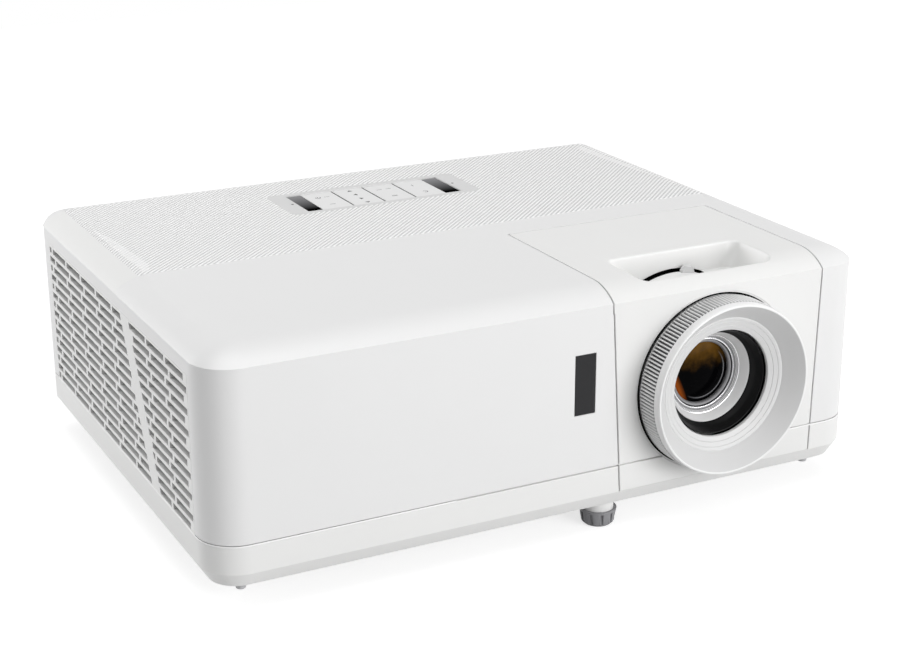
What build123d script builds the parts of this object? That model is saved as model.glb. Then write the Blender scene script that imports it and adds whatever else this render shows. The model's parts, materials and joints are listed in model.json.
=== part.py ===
from build123d import *
import math
import os

os.makedirs("parts", exist_ok=True)

# A compact home projector in millimetres: +Z up, the lens looks along -Y, +X is to the right from the front.
# The origin is on the table, under the middle of the whole object, focus ring included.

# Case
WIDTH = 374.0
BODY_DEPTH = 278.0
CASE_HEIGHT = 119.0
FOOT_DROP = 15.0  # height of the underside above the table
WALL = 2.6
FRONT_CORNER = 20.0
REAR_CORNER = 12.0
EDGE_RUN = 20.0  # how far the rounded top edge reaches in from the walls
EDGE_DROP = 7.5  # how far it falls, down to a crisp crease at the walls
REAR_EDGE = 5.0
SEAM_HEIGHT = 22.5  # the bottom case ends and the top cover starts here, above the underside
SEAM_GROOVE = 0.7
CHAMFER_HEIGHT = 8.0
CHAMFER_INSET = 5.0
PANEL_FIT = 0.2  # clearance round panels that sit in an opening
SEAT_FIT = 0.1  # clearance round pieces that slip into a seat
RUNNING_FIT = 0.08  # radial clearance of what turns or slides on a round seat

# Lens cover and its thumb well: X reaches are from the lens axis, depths behind the front face
LENS_SIDE = 94.0  # lens axis from the right wall
LENS_HEIGHT = 60.0  # lens axis above the underside
PANEL_LEFT_TOP = 63.0
PANEL_LEFT_FOOT = 56.5
PANEL_RIGHT_TOP = 65.5
PANEL_RIGHT_FOOT = 63.5
PANEL_LENGTH = 110.0
PANEL_GAP = 0.7
WELL_LEFT = 42.0
WELL_RIGHT = 41.5
WELL_FRONT = 9.5
WELL_LENGTH = 35.0
WELL_DIP = 3.7  # its floor lies this far below the top of the lens hole, so that the zoom ring shows
WELL_END_SLOPE = 5.0
WELL_BACK_SLOPE = 1.0
WELL_FRONT_SLOPE = 3.0
WELL_CORNER = 6.0
WELL_WALL = 2.2
WELL_RIM = 1.2  # rounding of the rim

# Lens: radii about the lens axis, depths behind the front face
LENS_PROUD = 18.0
HOLE_GAP = 2.0  # round the focus ring
RING_RISE = 6.5  # the focus ring above the barrel
GRIP_WALL = 1.6  # the ribbed sleeve on the focus ring
GRIP_LENGTH = 13.0
RIB_HEIGHT = 0.6
RIB_COUNT = 60
RIM_WIDTH = 2.9
CONE_RADIUS = 36.4
CONE_DEPTH = 9.5
DISH_RADIUS = 29.2
DISH_DEPTH = 2.5
RING_WALL = 3.0
CELL_STEP = 1.0  # small steps turned inside the front cell
SNOUT_TAPER = 4.5
BARREL_RADIUS = 40.0
BARREL_WALL = 4.0
BARREL_FRONT = 4.0
BARREL_LENGTH = 54.0
RING_SLEEVE = 10.0  # length of the focus ring that runs on the barrel
COLLAR_HEIGHT = 2.0
FLANGE_RISE = 6.0  # above the barrel
FLANGE_THICKNESS = 6.0
SNOUT_RADIUS = 28.7
SNOUT_FRONT = -3.5
CELL_FRONT = 8.0
CELL_LENGTH = 16.0
GLASS_RADIUS = 20.0
APERTURE_RADIUS = 17.7
GLASS_THICKNESS = 6.0
GLASS_CROWN = 3.0
ZOOM_RISE = 7.2  # the zoom ring's crown above the barrel
ZOOM_RING_LENGTH = 24.0
ZOOM_RING_GAP = 2.5  # from the zoom ring to the back wall of the well
ZOOM_LAND = 8.0  # length of the zoom ring that runs on the barrel
ZOOM_ANGLE = 9.0  # the lever leans this far to the right of straight up
LEVER_WIDTH = 8.0
LEVER_TIP_WIDTH = 4.5
LEVER_THICKNESS = 3.0
LEVER_SHOULDER = 0.8  # above the zoom ring's crown
LEVER_RISE = 3.6  # its tip above that crown
ZOOM_CELL_DEPTH = 36.0
ZOOM_CELL_LENGTH = 14.0
REAR_GLASS_RADIUS = 30.0
REAR_GLASS_THICKNESS = 5.0

# Side grilles
GRILLE_FRONT = 22.2
GRILLE_REAR = 20.0  # from the rear wall
GRILLE_TOP = 14.8  # below the top of the case
GRILLE_BORDER = 1.2
SLOT_ROWS = 15
SLOT_HEIGHT = 3.4
SLOT_LENGTH = 25.6
SLOT_POST = 2.6
SLOT_LEAD = 1.9  # how much of the first slot the front border covers
SLOT_STAGGER = 6.0
BAND_TOP = 88.8  # where the solid diagonal band meets the top of the grille, from its front edge
BAND_FOOT = 49.5
BAND_WIDTH = 13.8
SLOT_LEAST = 2.0  # shorter leftovers of a slot stay closed

# Front window and keypad
WINDOW_REACH = 85.0  # its left edge, to the left of the lens axis
WINDOW_WIDTH = 12.0
WINDOW_FOOT = 55.0
WINDOW_HEIGHT = 32.5
WINDOW_LIP = 2.0
KEYPAD_X = -0.5
KEYPAD_LENGTH = 115.0
KEYPAD_REAR = 35.0  # from the rear wall
KEYPAD_WIDTH = 44.0
KEYPAD_CORNER = 14.0
KEYPAD_PLATE = 2.0
KEYPAD_SINK = 0.4
KEYPAD_LIP = 2.0
KEYPAD_PILLAR = 4.0
PANE_WIDTH = 9.0
PANE_LENGTH = 35.5
PANE_REACH = 44.5  # from the middle of the keypad to the middle of a pane
KEY_WIDTH = 19.5
KEY_LENGTH = 35.5
KEY_PITCH = 20.0
KEY_GAP = 0.25
KEY_TRAVEL = 0.8
KEY_FLANGE = 1.2
BOARD_THICKNESS = 1.6

# Feet
FOOT_REACH = 60.0  # front foot, to the left of the lens axis
FOOT_FRONT = 16.0
REAR_FOOT_SIDE = 27.0  # from the side wall
REAR_FOOT_REAR = 28.0
STEM_RADIUS = 8.2
STEM_LENGTH = 28.0
STEM_SEAT = 3.0
STEM_BEVEL = 0.65
CAP_RADIUS = 10.0
CAP_FOOT_RADIUS = 8.6
CAP_HEIGHT = 9.0
CAP_NOTCHES = 10
CAP_NOTCH = 1.5
CAP_NOTCH_REACH = 9.1
CAP_NOTCH_TOP = 7.5
CAP_SOLE_EDGE = 1.5
FOOT_BOSS_WALL = 2.4
FOOT_BOSS_HEIGHT = 24.0
BUMPER_SIDE = 20.0
BUMPER_FRONT = 17.0
BUMPER_RADIUS = 3.2
BUMPER_TIP = 2.5
BUMPER_DROP = 7.0

# Fasteners and the ceiling-bracket holes
POST_RADIUS = 5.0
POST_SIDE = 16.0
POST_FRONT = 32.0
POST_REAR = 16.0
SCREW_RADIUS = 1.5
SCREW_HEAD = 2.9
SCREW_HEAD_HEIGHT = 2.0
SCREW_BITE = 10.0
HEAD_SINK = 10.0
SCREW_SLACK = 0.25
INSERT_RADIUS = 3.2
INSERT_BORE = 2.0
INSERT_LENGTH = 8.0
INSERT_SPACING_X = 220.0
INSERT_SPACING_Y = 140.0
INSERT_Y = 145.0
INSERT_BOSS_WALL = 2.0

# Light engine
ENGINE_WIDTH = 90.0
ENGINE_LENGTH = 86.0
ENGINE_HEIGHT = 60.0
ENGINE_EDGE = 6.0
ENGINE_RIB = 2.5
LUG_REACH = 10.0
LUG_THICKNESS = 5.0
LUG_RADIUS = 6.0
LIGHT_DEPTH = 105.0
RELAY_LENGTH = 28.0
RELAY_SIDE = 34.0
TUNNEL_LENGTH = 34.0
TUNNEL_SIDE = 22.0
TUNNEL_BORE = 7.0
WHEEL_RADIUS = 32.0
WHEEL_THICKNESS = 1.5
WHEEL_OFFSET = 24.0
WHEEL_GAP = 5.0
WHEEL_HUB = 10.4
MOTOR_RADIUS = 13.0
MOTOR_LENGTH = 12.0
SHAFT_RADIUS = 1.5
BRACKET_THICKNESS = 3.0
BRACKET_WIDTH = 36.0
BRACKET_TOP = 18.0
LASER_OFFSET = 70.0  # front of the laser bank, to the left of the middle of the case
LASER_LENGTH = 30.0
LASER_SIDE = 40.0
DIODE_RADIUS = 4.0
DIODE_LENGTH = 4.0
DIODE_PITCH = 11.0
DIODE_ROWS = 3
SINK_BASE = 6.0
SINK_DEPTH = 72.0
SINK_FAN_GAP = 8.0  # the fins reach this near to the intake fan
SINK_FINS = 12
SINK_FIN = 1.2
SINK_PITCH = 6.0
IMAGER_BOARD_MARGIN = 6.0
IMAGER_SINK_LENGTH = 30.0
IMAGER_SINK_BASE = 5.0
IMAGER_SINK_WIDTH = 70.0
IMAGER_SINK_HEIGHT = 50.0
IMAGER_FINS = 11

# Fans
FAN_SIZE = 80.0
FAN_THICKNESS = 25.0
FAN_CORNER = 5.0
FAN_BORE = 38.5
FAN_WALL_GAP = 3.4  # between a fan and its grille
FAN_HUB = 17.0
FAN_HUB_WALL = 2.0
FAN_BLADE_TIP = 37.0
FAN_BLADES = 7
FAN_BLADE_CHORD = 16.0
FAN_BLADE_SWEEP = 6.0
FAN_BLADE_THICKNESS = 1.4
FAN_BLADE_CAMBER = 2.0
FAN_SPIDER = 3.0
FAN_ARM = 5.0
FAN_ROTOR_LENGTH = 19.0
BEARING_RADIUS = 4.0
LEFT_FAN_DEPTH = 140.0
RIGHT_FAN_REAR = 88.0  # middle of the rear exhaust fan, from the rear wall
RIGHT_FAN_PITCH = 84.0
CRADLE_WIDTH = 6.0

# Boards, sockets and speaker
MAIN_REAR = 24.0  # main board, from the rear wall
MAIN_FOOT = 21.0  # above the underside
MAIN_HEIGHT = 74.0
RAIL_SIZE = 8.0
RAIL_GRIP = 6.0
REAR_PANEL_SIDE = 47.0  # from the left wall
REAR_PANEL_WIDTH = 250.0
REAR_PANEL_HEIGHT = 72.0
REAR_PANEL_THICKNESS = 2.0
REAR_RECESS = 6.0  # how deep the connectors sit behind the rear face
REAR_RIM = 2.5
SOCKET_ROW = 24.0  # socket centres above the seam
SOCKET_PROUD = 0.5
SOCKET_WALL = 1.5
SOCKET_HOLLOW = 10.0
INLET_X = 26.0  # socket centres from the left edge of the rear panel
NETWORK_X = 70.0
VIDEO_X = (98.0, 136.0)
MEDIA_X = (168.0, 190.0)
DATA_X = 210.0
AUDIO_X = (226.0, 240.0)
INLET_SIZE = (28.0, 20.0)
NETWORK_SIZE = (16.0, 14.0)
VIDEO_SIZE = (31.0, 12.5)
MEDIA_SIZE = (16.0, 7.5)
DATA_SIZE = (14.5, 7.5)
AUDIO_SIZE = (10.0, 10.0)
INLET_PIN_PITCH = 7.0
INLET_PIN_STEP = 2.0
INLET_PIN = (2.0, 4.0)
SHELL_LENGTH = 5.0
SHELL_WIDTH = 18.0
SHELL_HEIGHT = 8.0
SHELL_ANGLE = 80.0
JACK_RADIUS = 1.8
POWER_SIDE = 42.0  # from the left wall
POWER_WIDTH = 125.0
POWER_GAP = 9.0  # between the power board and the main board
POWER_LENGTH = 55.0
POWER_RISE = 10.0
POWER_RAIL = 4.0
TRANSFORMER_X = 27.5  # component places from the left edge of the power board
TRANSFORMER_SIDE = 27.5
TRANSFORMER_HEIGHT = 27.5
TRANSFORMER_CORNER = 4.0
CAPACITOR_X = 62.5
CAPACITOR_PITCH = 22.0
CAPACITOR_RADIUS = 9.0
CAPACITOR_HEIGHT = 33.0
CHOKE_X = 100.0
CHOKE_RADIUS = 11.0
CHOKE_BORE = 5.5
CHOKE_HEIGHT = 14.0
SPEAKER_SIDE = 77.0  # its middle, from the left wall
SPEAKER_FRONT = 34.0
SPEAKER_WIDTH = 60.0
SPEAKER_DEPTH = 46.0
SPEAKER_HEIGHT = 60.0
SPEAKER_CONE = 19.0
SPEAKER_THROAT = 9.5
SPEAKER_DISH = 9.5

# Places that follow from the sizes above
FRONT_Y = LENS_PROUD - (BODY_DEPTH + LENS_PROUD) / 2
BACK_Y = FRONT_Y + BODY_DEPTH
MID_Y = (FRONT_Y + BACK_Y) / 2
UNDER_Z = FOOT_DROP
FLOOR_Z = UNDER_Z + WALL
CHAMFER_Z = UNDER_Z + CHAMFER_HEIGHT
SEAM_Z = UNDER_Z + SEAM_HEIGHT
TOP_Z = UNDER_Z + CASE_HEIGHT
LENS_Z = UNDER_Z + LENS_HEIGHT
LENS_X = WIDTH / 2 - LENS_SIDE
EDGE_RADIUS = (EDGE_RUN**2 + EDGE_DROP**2) / (2 * EDGE_DROP)
EDGE_FLARE = EDGE_RADIUS - EDGE_RUN
LENS_AXIS = Axis((LENS_X, FRONT_Y, LENS_Z), (0, 1, 0))
LENS_PLANE = Plane(origin=(LENS_X, FRONT_Y, LENS_Z), x_dir=(1, 0, 0), z_dir=(0, 0, 1))
BARREL_BORE = BARREL_RADIUS - BARREL_WALL
FLANGE_RADIUS = BARREL_RADIUS + FLANGE_RISE
RING_RADIUS = BARREL_RADIUS + RING_RISE
HOLE_RADIUS = RING_RADIUS + HOLE_GAP
ZOOM_RING_RADIUS = BARREL_RADIUS + ZOOM_RISE
WELL_FLOOR = HOLE_RADIUS - WELL_DIP  # above the lens axis
WELL_BACK = WELL_FRONT + WELL_LENGTH
BARREL_BACK = BARREL_FRONT + BARREL_LENGTH
ENGINE_FRONT = BARREL_BACK + FLANGE_THICKNESS
GRILLE_LENGTH = BODY_DEPTH - GRILLE_FRONT - GRILLE_REAR
GRILLE_HEIGHT = CASE_HEIGHT - SEAM_HEIGHT - GRILLE_TOP
WINDOW_LEFT = LENS_X - WINDOW_REACH
KEYPAD_Y = BACK_Y - KEYPAD_REAR - KEYPAD_WIDTH / 2
REAR_PANEL_LEFT = REAR_PANEL_SIDE - WIDTH / 2
MAIN_Y = BACK_Y - MAIN_REAR
POWER_LEFT = POWER_SIDE - WIDTH / 2
POWER_Y = MAIN_Y - POWER_GAP - POWER_LENGTH


def write_piece(piece, name):
    """Labels a finished piece and writes it to its own file."""
    piece.part.label = name
    export_step(piece.part, f"parts/{name}.step")


def behind(depth):
    """The Y of a point that lies this deep behind the front face."""
    return FRONT_Y + depth


def facing(depth):
    """An upright plane at this depth: local x is X, local y is Z, extruding by a minus goes inwards."""
    return Plane.XZ.offset(-behind(depth))


def block(low, high, mode=Mode.ADD):
    """Adds the box between two opposite corners to the piece being made."""
    with Locations(tuple((a + b) / 2 for a, b in zip(low, high))):
        Box(*(b - a for a, b in zip(low, high)), mode=mode)


def round_bar(x, y, foot, top, radius, mode=Mode.ADD):
    """Adds an upright cylinder between two heights to the piece being made."""
    with Locations((x, y, (foot + top) / 2)):
        Cylinder(radius, top - foot, mode=mode)


def turned(profile):
    """A solid of revolution about the lens axis, from corners given as (radius, depth)."""
    with BuildPart() as solid:
        with BuildSketch(LENS_PLANE):
            Polygon(*profile, align=None)
        revolve(axis=LENS_AXIS)
    return solid.part


def lens_disc(radius, front, thickness, crown):
    """A glass element about the lens axis: a flat back, and a front that bulges by crown."""
    with BuildPart() as solid:
        with BuildSketch(LENS_PLANE):
            with BuildLine():
                edge = Line((radius, front + crown), (radius, front + thickness))
                back = Line(edge @ 1, (0, front + thickness))
                middle = Line(back @ 1, (0, front))
                sphere = (radius**2 + crown**2) / (2 * crown)
                RadiusArc(middle @ 1, edge @ 0, -sphere)
            make_face()
        revolve(axis=LENS_AXIS)
    return solid.part


def case_form(inset, foot_z):
    """The case moved inwards by inset: straight walls under a rounded crown, cut flat at foot_z."""
    spread = EDGE_FLARE - inset
    height = TOP_Z - inset - foot_z
    with BuildPart() as crown:
        with BuildSketch(Plane.XY.offset(foot_z)) as plan:
            with Locations((0, MID_Y)):
                Rectangle(WIDTH + 2 * spread, BODY_DEPTH + 2 * spread)
            fillet(plan.vertices().group_by(Axis.Y)[0], FRONT_CORNER + spread)
        extrude(amount=height)
        top_edges = crown.faces().sort_by(Axis.Z)[-1].edges()
        fillet(top_edges.sort_by(Axis.Y)[:-1], EDGE_RADIUS - inset)
    with BuildPart() as form:
        with BuildSketch(Plane.XY.offset(foot_z)) as plan:
            with Locations((0, MID_Y)):
                Rectangle(WIDTH - 2 * inset, BODY_DEPTH - 2 * inset)
            fillet(plan.vertices().group_by(Axis.Y)[0], FRONT_CORNER - inset)
            fillet(plan.vertices().group_by(Axis.Y)[-1], REAR_CORNER - inset)
        extrude(amount=height)
        fillet(form.faces().sort_by(Axis.Z)[-1].edges(), REAR_EDGE - inset)
        add(crown.part, mode=Mode.INTERSECT)
    return form.part


def tray_form(inset, top_z):
    """The bottom case moved inwards by inset: a chamfered foot under straight walls up to top_z."""
    foot_z = UNDER_Z + inset
    with BuildPart() as form:
        for z, draw in ((foot_z, CHAMFER_INSET + inset), (foot_z + CHAMFER_HEIGHT, inset)):
            with BuildSketch(Plane.XY.offset(z)) as plan:
                with Locations((0, MID_Y)):
                    Rectangle(WIDTH - 2 * draw, BODY_DEPTH - 2 * draw)
                fillet(plan.vertices().group_by(Axis.Y)[0], FRONT_CORNER - draw)
                fillet(plan.vertices().group_by(Axis.Y)[-1], REAR_CORNER - draw)
        loft(ruled=True)
        extrude(form.faces().sort_by(Axis.Z)[-1], amount=top_z - foot_z - CHAMFER_HEIGHT)
    return form.part


def lens_cover_zone(gap):
    """The stretch of case skin that the lens cover takes, widened by gap at its sides and back."""
    crease_z = TOP_Z - EDGE_DROP
    left_top = LENS_X - PANEL_LEFT_TOP - gap
    right_top = LENS_X + PANEL_RIGHT_TOP + gap
    outside = 1.0
    with BuildPart() as zone:
        with BuildSketch(facing(-outside)):
            Polygon(
                (LENS_X - PANEL_LEFT_FOOT - gap, CHAMFER_Z),
                (LENS_X + PANEL_RIGHT_FOOT + gap, CHAMFER_Z),
                (right_top, crease_z),
                (right_top, TOP_Z + outside),
                (left_top, TOP_Z + outside),
                (left_top, crease_z),
                align=None,
            )
        extrude(amount=-(outside + WALL))
        block(
            (left_top, behind(-outside), crease_z - 2 * WALL),
            (right_top, behind(PANEL_LENGTH + gap), TOP_Z + outside),
        )
    return zone.part


def well_form(grow):
    """The thumb well as a solid, with its walls moved outwards by grow: slanted sides, open upwards."""
    floor_z = LENS_Z + WELL_FLOOR - grow
    middle_x = LENS_X + (WELL_RIGHT - WELL_LEFT) / 2
    mouth = (WELL_LEFT + WELL_RIGHT + 2 * grow, WELL_LENGTH + 2 * grow)
    floor_front = WELL_FRONT + WELL_FRONT_SLOPE - grow
    floor_back = WELL_BACK - WELL_BACK_SLOPE + grow
    with BuildPart() as form:
        with BuildSketch(Plane.XY.offset(floor_z)):
            with Locations((middle_x, behind((floor_front + floor_back) / 2))):
                RectangleRounded(mouth[0] - 2 * WELL_END_SLOPE, floor_back - floor_front, WELL_CORNER)
        with BuildSketch(Plane.XY.offset(TOP_Z)):
            with Locations((middle_x, behind((WELL_FRONT + WELL_BACK) / 2))):
                RectangleRounded(*mouth, WELL_CORNER)
        loft(ruled=True)
        extrude(form.faces().sort_by(Axis.Z)[-1], amount=WALL)
    return form.part


# Bottom case: a chamfered tray with the bosses, posts and rails that carry everything inside

rear_foot_x = WIDTH / 2 - REAR_FOOT_SIDE
rear_foot_y = BACK_Y - REAR_FOOT_REAR
foot_places = [
    (LENS_X - FOOT_REACH, behind(FOOT_FRONT)),
    (-rear_foot_x, rear_foot_y),
    (rear_foot_x, rear_foot_y),
]
foot_names = ["front_foot", "left_rear_foot", "right_rear_foot"]
post_places = [
    (side * (WIDTH / 2 - POST_SIDE), y)
    for side in (-1, 1)
    for y in (behind(POST_FRONT), BACK_Y - POST_REAR)
]
insert_places = [
    (side * INSERT_SPACING_X / 2, behind(INSERT_Y) + end * INSERT_SPACING_Y / 2)
    for side in (-1, 1)
    for end in (-1, 1)
]
engine_left = LENS_X - ENGINE_WIDTH / 2
engine_right = LENS_X + ENGINE_WIDTH / 2
engine_back = ENGINE_FRONT + ENGINE_LENGTH
engine_foot = LENS_Z - ENGINE_HEIGHT / 2
lug_places = [
    (x, behind(depth))
    for x in (engine_left - LUG_REACH + LUG_RADIUS / 2, engine_right + LUG_REACH - LUG_RADIUS / 2)
    for depth in (ENGINE_FRONT + 2 * LUG_RADIUS, engine_back - 2 * LUG_RADIUS)
]
fan_reach = WIDTH / 2 - WALL - FAN_WALL_GAP - FAN_THICKNESS / 2
fan_places = [
    (-fan_reach, behind(LEFT_FAN_DEPTH)),
    (fan_reach, BACK_Y - RIGHT_FAN_REAR - RIGHT_FAN_PITCH),
    (fan_reach, BACK_Y - RIGHT_FAN_REAR),
]
fan_names = ["intake_fan", "front_exhaust_fan", "rear_exhaust_fan"]
fan_foot = LENS_Z - FAN_SIZE / 2
main_foot_z = UNDER_Z + MAIN_FOOT
power_foot_z = FLOOR_Z + POWER_RISE
rail_places = [REAR_PANEL_LEFT + RAIL_SIZE, REAR_PANEL_LEFT + REAR_PANEL_WIDTH - RAIL_SIZE]
lens_opening = lens_cover_zone(PANEL_GAP)
tray = tray_form(0, SEAM_Z)
tray_hollow = tray_form(WALL, SEAM_Z + WALL)

with BuildPart() as bottom_case:
    add(tray)
    add(tray_hollow, mode=Mode.SUBTRACT)
    for x, y in foot_places:
        round_bar(x, y, UNDER_Z, UNDER_Z + FOOT_BOSS_HEIGHT, STEM_RADIUS + RUNNING_FIT + FOOT_BOSS_WALL)
    for x, y in post_places:
        round_bar(x, y, UNDER_Z, SEAM_Z, POST_RADIUS)
    for x, y in insert_places:
        round_bar(x, y, UNDER_Z, UNDER_Z + INSERT_LENGTH + WALL, INSERT_RADIUS + INSERT_BOSS_WALL)
    for x, y in lug_places:
        round_bar(x, y, UNDER_Z, engine_foot, LUG_RADIUS)
    for rail_y in (POWER_Y, POWER_Y + POWER_LENGTH - POWER_RAIL):
        block(
            (POWER_LEFT, rail_y, UNDER_Z + WALL / 2),
            (POWER_LEFT + POWER_WIDTH, rail_y + POWER_RAIL, power_foot_z),
        )
    for x, y in fan_places:
        for end in (-1, 1):
            rib_y = y + end * (FAN_SIZE / 2 - FAN_CORNER - CRADLE_WIDTH / 2)
            block(
                (x - FAN_THICKNESS / 2, rib_y - CRADLE_WIDTH / 2, UNDER_Z + WALL / 2),
                (x + FAN_THICKNESS / 2, rib_y + CRADLE_WIDTH / 2, fan_foot),
            )
    for x in rail_places:
        rail_y = MAIN_Y + BOARD_THICKNESS / 2
        block(
            (x - RAIL_SIZE / 2, rail_y - RAIL_SIZE / 2, UNDER_Z + WALL / 2),
            (x + RAIL_SIZE / 2, rail_y + RAIL_SIZE / 2, main_foot_z + RAIL_GRIP),
        )
        block(
            (x - RAIL_SIZE, rail_y - BOARD_THICKNESS / 2 - SEAT_FIT, main_foot_z),
            (x + RAIL_SIZE, rail_y + BOARD_THICKNESS / 2 + SEAT_FIT, main_foot_z + 2 * RAIL_GRIP),
            mode=Mode.SUBTRACT,
        )
    add(lens_opening, mode=Mode.SUBTRACT)
    for x, y in foot_places:
        round_bar(x, y, 0, TOP_Z, STEM_RADIUS + RUNNING_FIT, mode=Mode.SUBTRACT)
    for x, y in post_places:
        round_bar(x, y, 0, UNDER_Z + HEAD_SINK, SCREW_HEAD + SCREW_SLACK, mode=Mode.SUBTRACT)
        round_bar(x, y, 0, TOP_Z, SCREW_RADIUS + SCREW_SLACK, mode=Mode.SUBTRACT)
    for x, y in insert_places:
        round_bar(x, y, 0, UNDER_Z + INSERT_LENGTH, INSERT_RADIUS + RUNNING_FIT, mode=Mode.SUBTRACT)
    for x, y in lug_places:
        round_bar(x, y, FLOOR_Z, TOP_Z, SCREW_RADIUS + RUNNING_FIT, mode=Mode.SUBTRACT)
write_piece(bottom_case, "bottom_case")


# Top cover: the rounded shell above the seam, with openings for every panel and its own screw posts

grille_top_z = SEAM_Z + GRILLE_HEIGHT
grille_back = GRILLE_FRONT + GRILLE_LENGTH
window_foot_z = UNDER_Z + WINDOW_FOOT
cover_outside = case_form(0, SEAM_Z)
cover_inside = case_form(WALL, SEAM_Z - WALL)
cover_middle = case_form(WALL / 2, SEAM_Z)

with BuildPart() as cover_posts:
    for x, y in post_places:
        round_bar(x, y, SEAM_Z, TOP_Z, POST_RADIUS)
    add(cover_middle, mode=Mode.INTERSECT)

with BuildPart() as top_cover:
    add(cover_outside)
    add(cover_inside, mode=Mode.SUBTRACT)
    add(cover_posts.part)
    with BuildSketch(Plane.XY.offset(SEAM_Z)) as groove:
        with Locations((0, MID_Y)):
            Rectangle(WIDTH + WALL, BODY_DEPTH + WALL)
            Rectangle(WIDTH - WALL, BODY_DEPTH - WALL, mode=Mode.SUBTRACT)
        fillet(groove.vertices().group_by(Axis.Y)[1], FRONT_CORNER - WALL / 2)
        fillet(groove.vertices().group_by(Axis.Y)[-2], REAR_CORNER - WALL / 2)
    extrude(amount=SEAM_GROOVE, mode=Mode.SUBTRACT)
    add(lens_opening, mode=Mode.SUBTRACT)
    for side in (-1, 1):
        block(
            (side * WIDTH / 2 - 2 * WALL, behind(GRILLE_FRONT), SEAM_Z),
            (side * WIDTH / 2 + 2 * WALL, behind(grille_back), grille_top_z),
            mode=Mode.SUBTRACT,
        )
    block(
        (REAR_PANEL_LEFT, BACK_Y - 2 * WALL, SEAM_Z - WALL),
        (REAR_PANEL_LEFT + REAR_PANEL_WIDTH, BACK_Y + WALL, SEAM_Z + REAR_PANEL_HEIGHT),
        mode=Mode.SUBTRACT,
    )
    block(
        (WINDOW_LEFT, FRONT_Y - WALL, window_foot_z),
        (WINDOW_LEFT + WINDOW_WIDTH, FRONT_Y + 2 * WALL, window_foot_z + WINDOW_HEIGHT),
        mode=Mode.SUBTRACT,
    )
    with BuildSketch(Plane.XY.offset(TOP_Z - 2 * WALL)):
        with Locations((KEYPAD_X, KEYPAD_Y)):
            RectangleRounded(KEYPAD_LENGTH, KEYPAD_WIDTH, KEYPAD_CORNER)
    extrude(amount=3 * WALL, mode=Mode.SUBTRACT)
    for x, y in post_places:
        round_bar(x, y, 0, SEAM_Z + SCREW_BITE, SCREW_RADIUS + RUNNING_FIT, mode=Mode.SUBTRACT)
write_piece(top_cover, "top_cover")


# Lens cover: front and top skin round the lens, and a thumb well open to the crown of the zoom ring

skin_outside = case_form(0, CHAMFER_Z)
skin_inside = case_form(WALL, CHAMFER_Z - WALL)
cover_zone = lens_cover_zone(0)
well_block = well_form(WELL_WALL)
well_hollow = well_form(0)

with BuildPart() as lens_cover:
    add(skin_outside)
    add(skin_inside, mode=Mode.SUBTRACT)
    add(cover_zone, mode=Mode.INTERSECT)
    add(well_block)
    add(skin_outside, mode=Mode.INTERSECT)
    skin_edges = lens_cover.edges()
    add(well_hollow, mode=Mode.SUBTRACT)
    new_edges = lens_cover.edges() - skin_edges
    rim_edges = new_edges.filter_by(lambda edge: edge.bounding_box().min.Z > TOP_Z - EDGE_DROP)
    fillet(rim_edges, WELL_RIM)
    with BuildSketch(facing(-WALL)):
        with Locations((LENS_X, LENS_Z)):
            Circle(HOLE_RADIUS)
    extrude(amount=-(WALL + WELL_BACK + 2 * WELL_WALL), mode=Mode.SUBTRACT)
    block(
        (LENS_X - PANEL_LEFT_TOP - WALL, FRONT_Y - WALL, SEAM_Z),
        (LENS_X + PANEL_RIGHT_TOP + WALL, FRONT_Y + WALL / 2, SEAM_Z + SEAM_GROOVE),
        mode=Mode.SUBTRACT,
    )
write_piece(lens_cover, "lens_cover")


# Side grilles: plates with rows of slots, staggered like brickwork and crossed by a solid diagonal band

field_length = GRILLE_LENGTH - 2 * GRILLE_BORDER
field_height = GRILLE_HEIGHT - 2 * GRILLE_BORDER
row_pitch = (field_height - SLOT_HEIGHT) / (SLOT_ROWS - 1)
slot_pitch = SLOT_LENGTH + SLOT_POST
slot_columns = math.ceil(field_length / slot_pitch) + 1
field_front = behind(GRILLE_FRONT + GRILLE_BORDER)
field_foot = SEAM_Z + GRILLE_BORDER


def grille_face(x):
    """The outline of a side grille on the upright plane at x, with its slots cut out."""
    side = Plane.YZ.offset(x)
    with BuildSketch(side) as slots:
        for row in range(SLOT_ROWS):
            first = field_front - SLOT_LEAD + SLOT_STAGGER * (1 - row % 2)
            row_y = first + SLOT_LENGTH / 2 + (slot_columns - 1) / 2 * slot_pitch
            with Locations((row_y, field_foot + SLOT_HEIGHT / 2 + row * row_pitch)):
                with GridLocations(slot_pitch, 1, slot_columns, 1):
                    Rectangle(SLOT_LENGTH, SLOT_HEIGHT)
        with Locations((field_front + field_length / 2, field_foot + field_height / 2)):
            Rectangle(field_length, field_height, mode=Mode.INTERSECT)
        Polygon(
            (behind(GRILLE_FRONT + BAND_FOOT), SEAM_Z),
            (behind(GRILLE_FRONT + BAND_FOOT + BAND_WIDTH), SEAM_Z),
            (behind(GRILLE_FRONT + BAND_TOP + BAND_WIDTH), grille_top_z),
            (behind(GRILLE_FRONT + BAND_TOP), grille_top_z),
            align=None,
            mode=Mode.SUBTRACT,
        )
    open_slots = [slot for slot in slots.faces() if slot.area > SLOT_LEAST * SLOT_HEIGHT]
    with BuildSketch(side) as plate:
        plate_height = GRILLE_HEIGHT - PANEL_FIT
        with Locations((behind(GRILLE_FRONT + GRILLE_LENGTH / 2), SEAM_Z + plate_height / 2)):
            Rectangle(GRILLE_LENGTH - 2 * PANEL_FIT, plate_height)
        add(open_slots, mode=Mode.SUBTRACT)
    return plate.sketch


left_face = grille_face(-WIDTH / 2)

with BuildPart() as left_grille:
    extrude(left_face, amount=WALL, dir=(1, 0, 0))
write_piece(left_grille, "left_grille")

with BuildPart() as right_grille:
    mirror(left_grille.part, about=Plane.YZ)
write_piece(right_grille, "right_grille")


# Front window: a dark pane with a lip that bears on the inside of the wall

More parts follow.
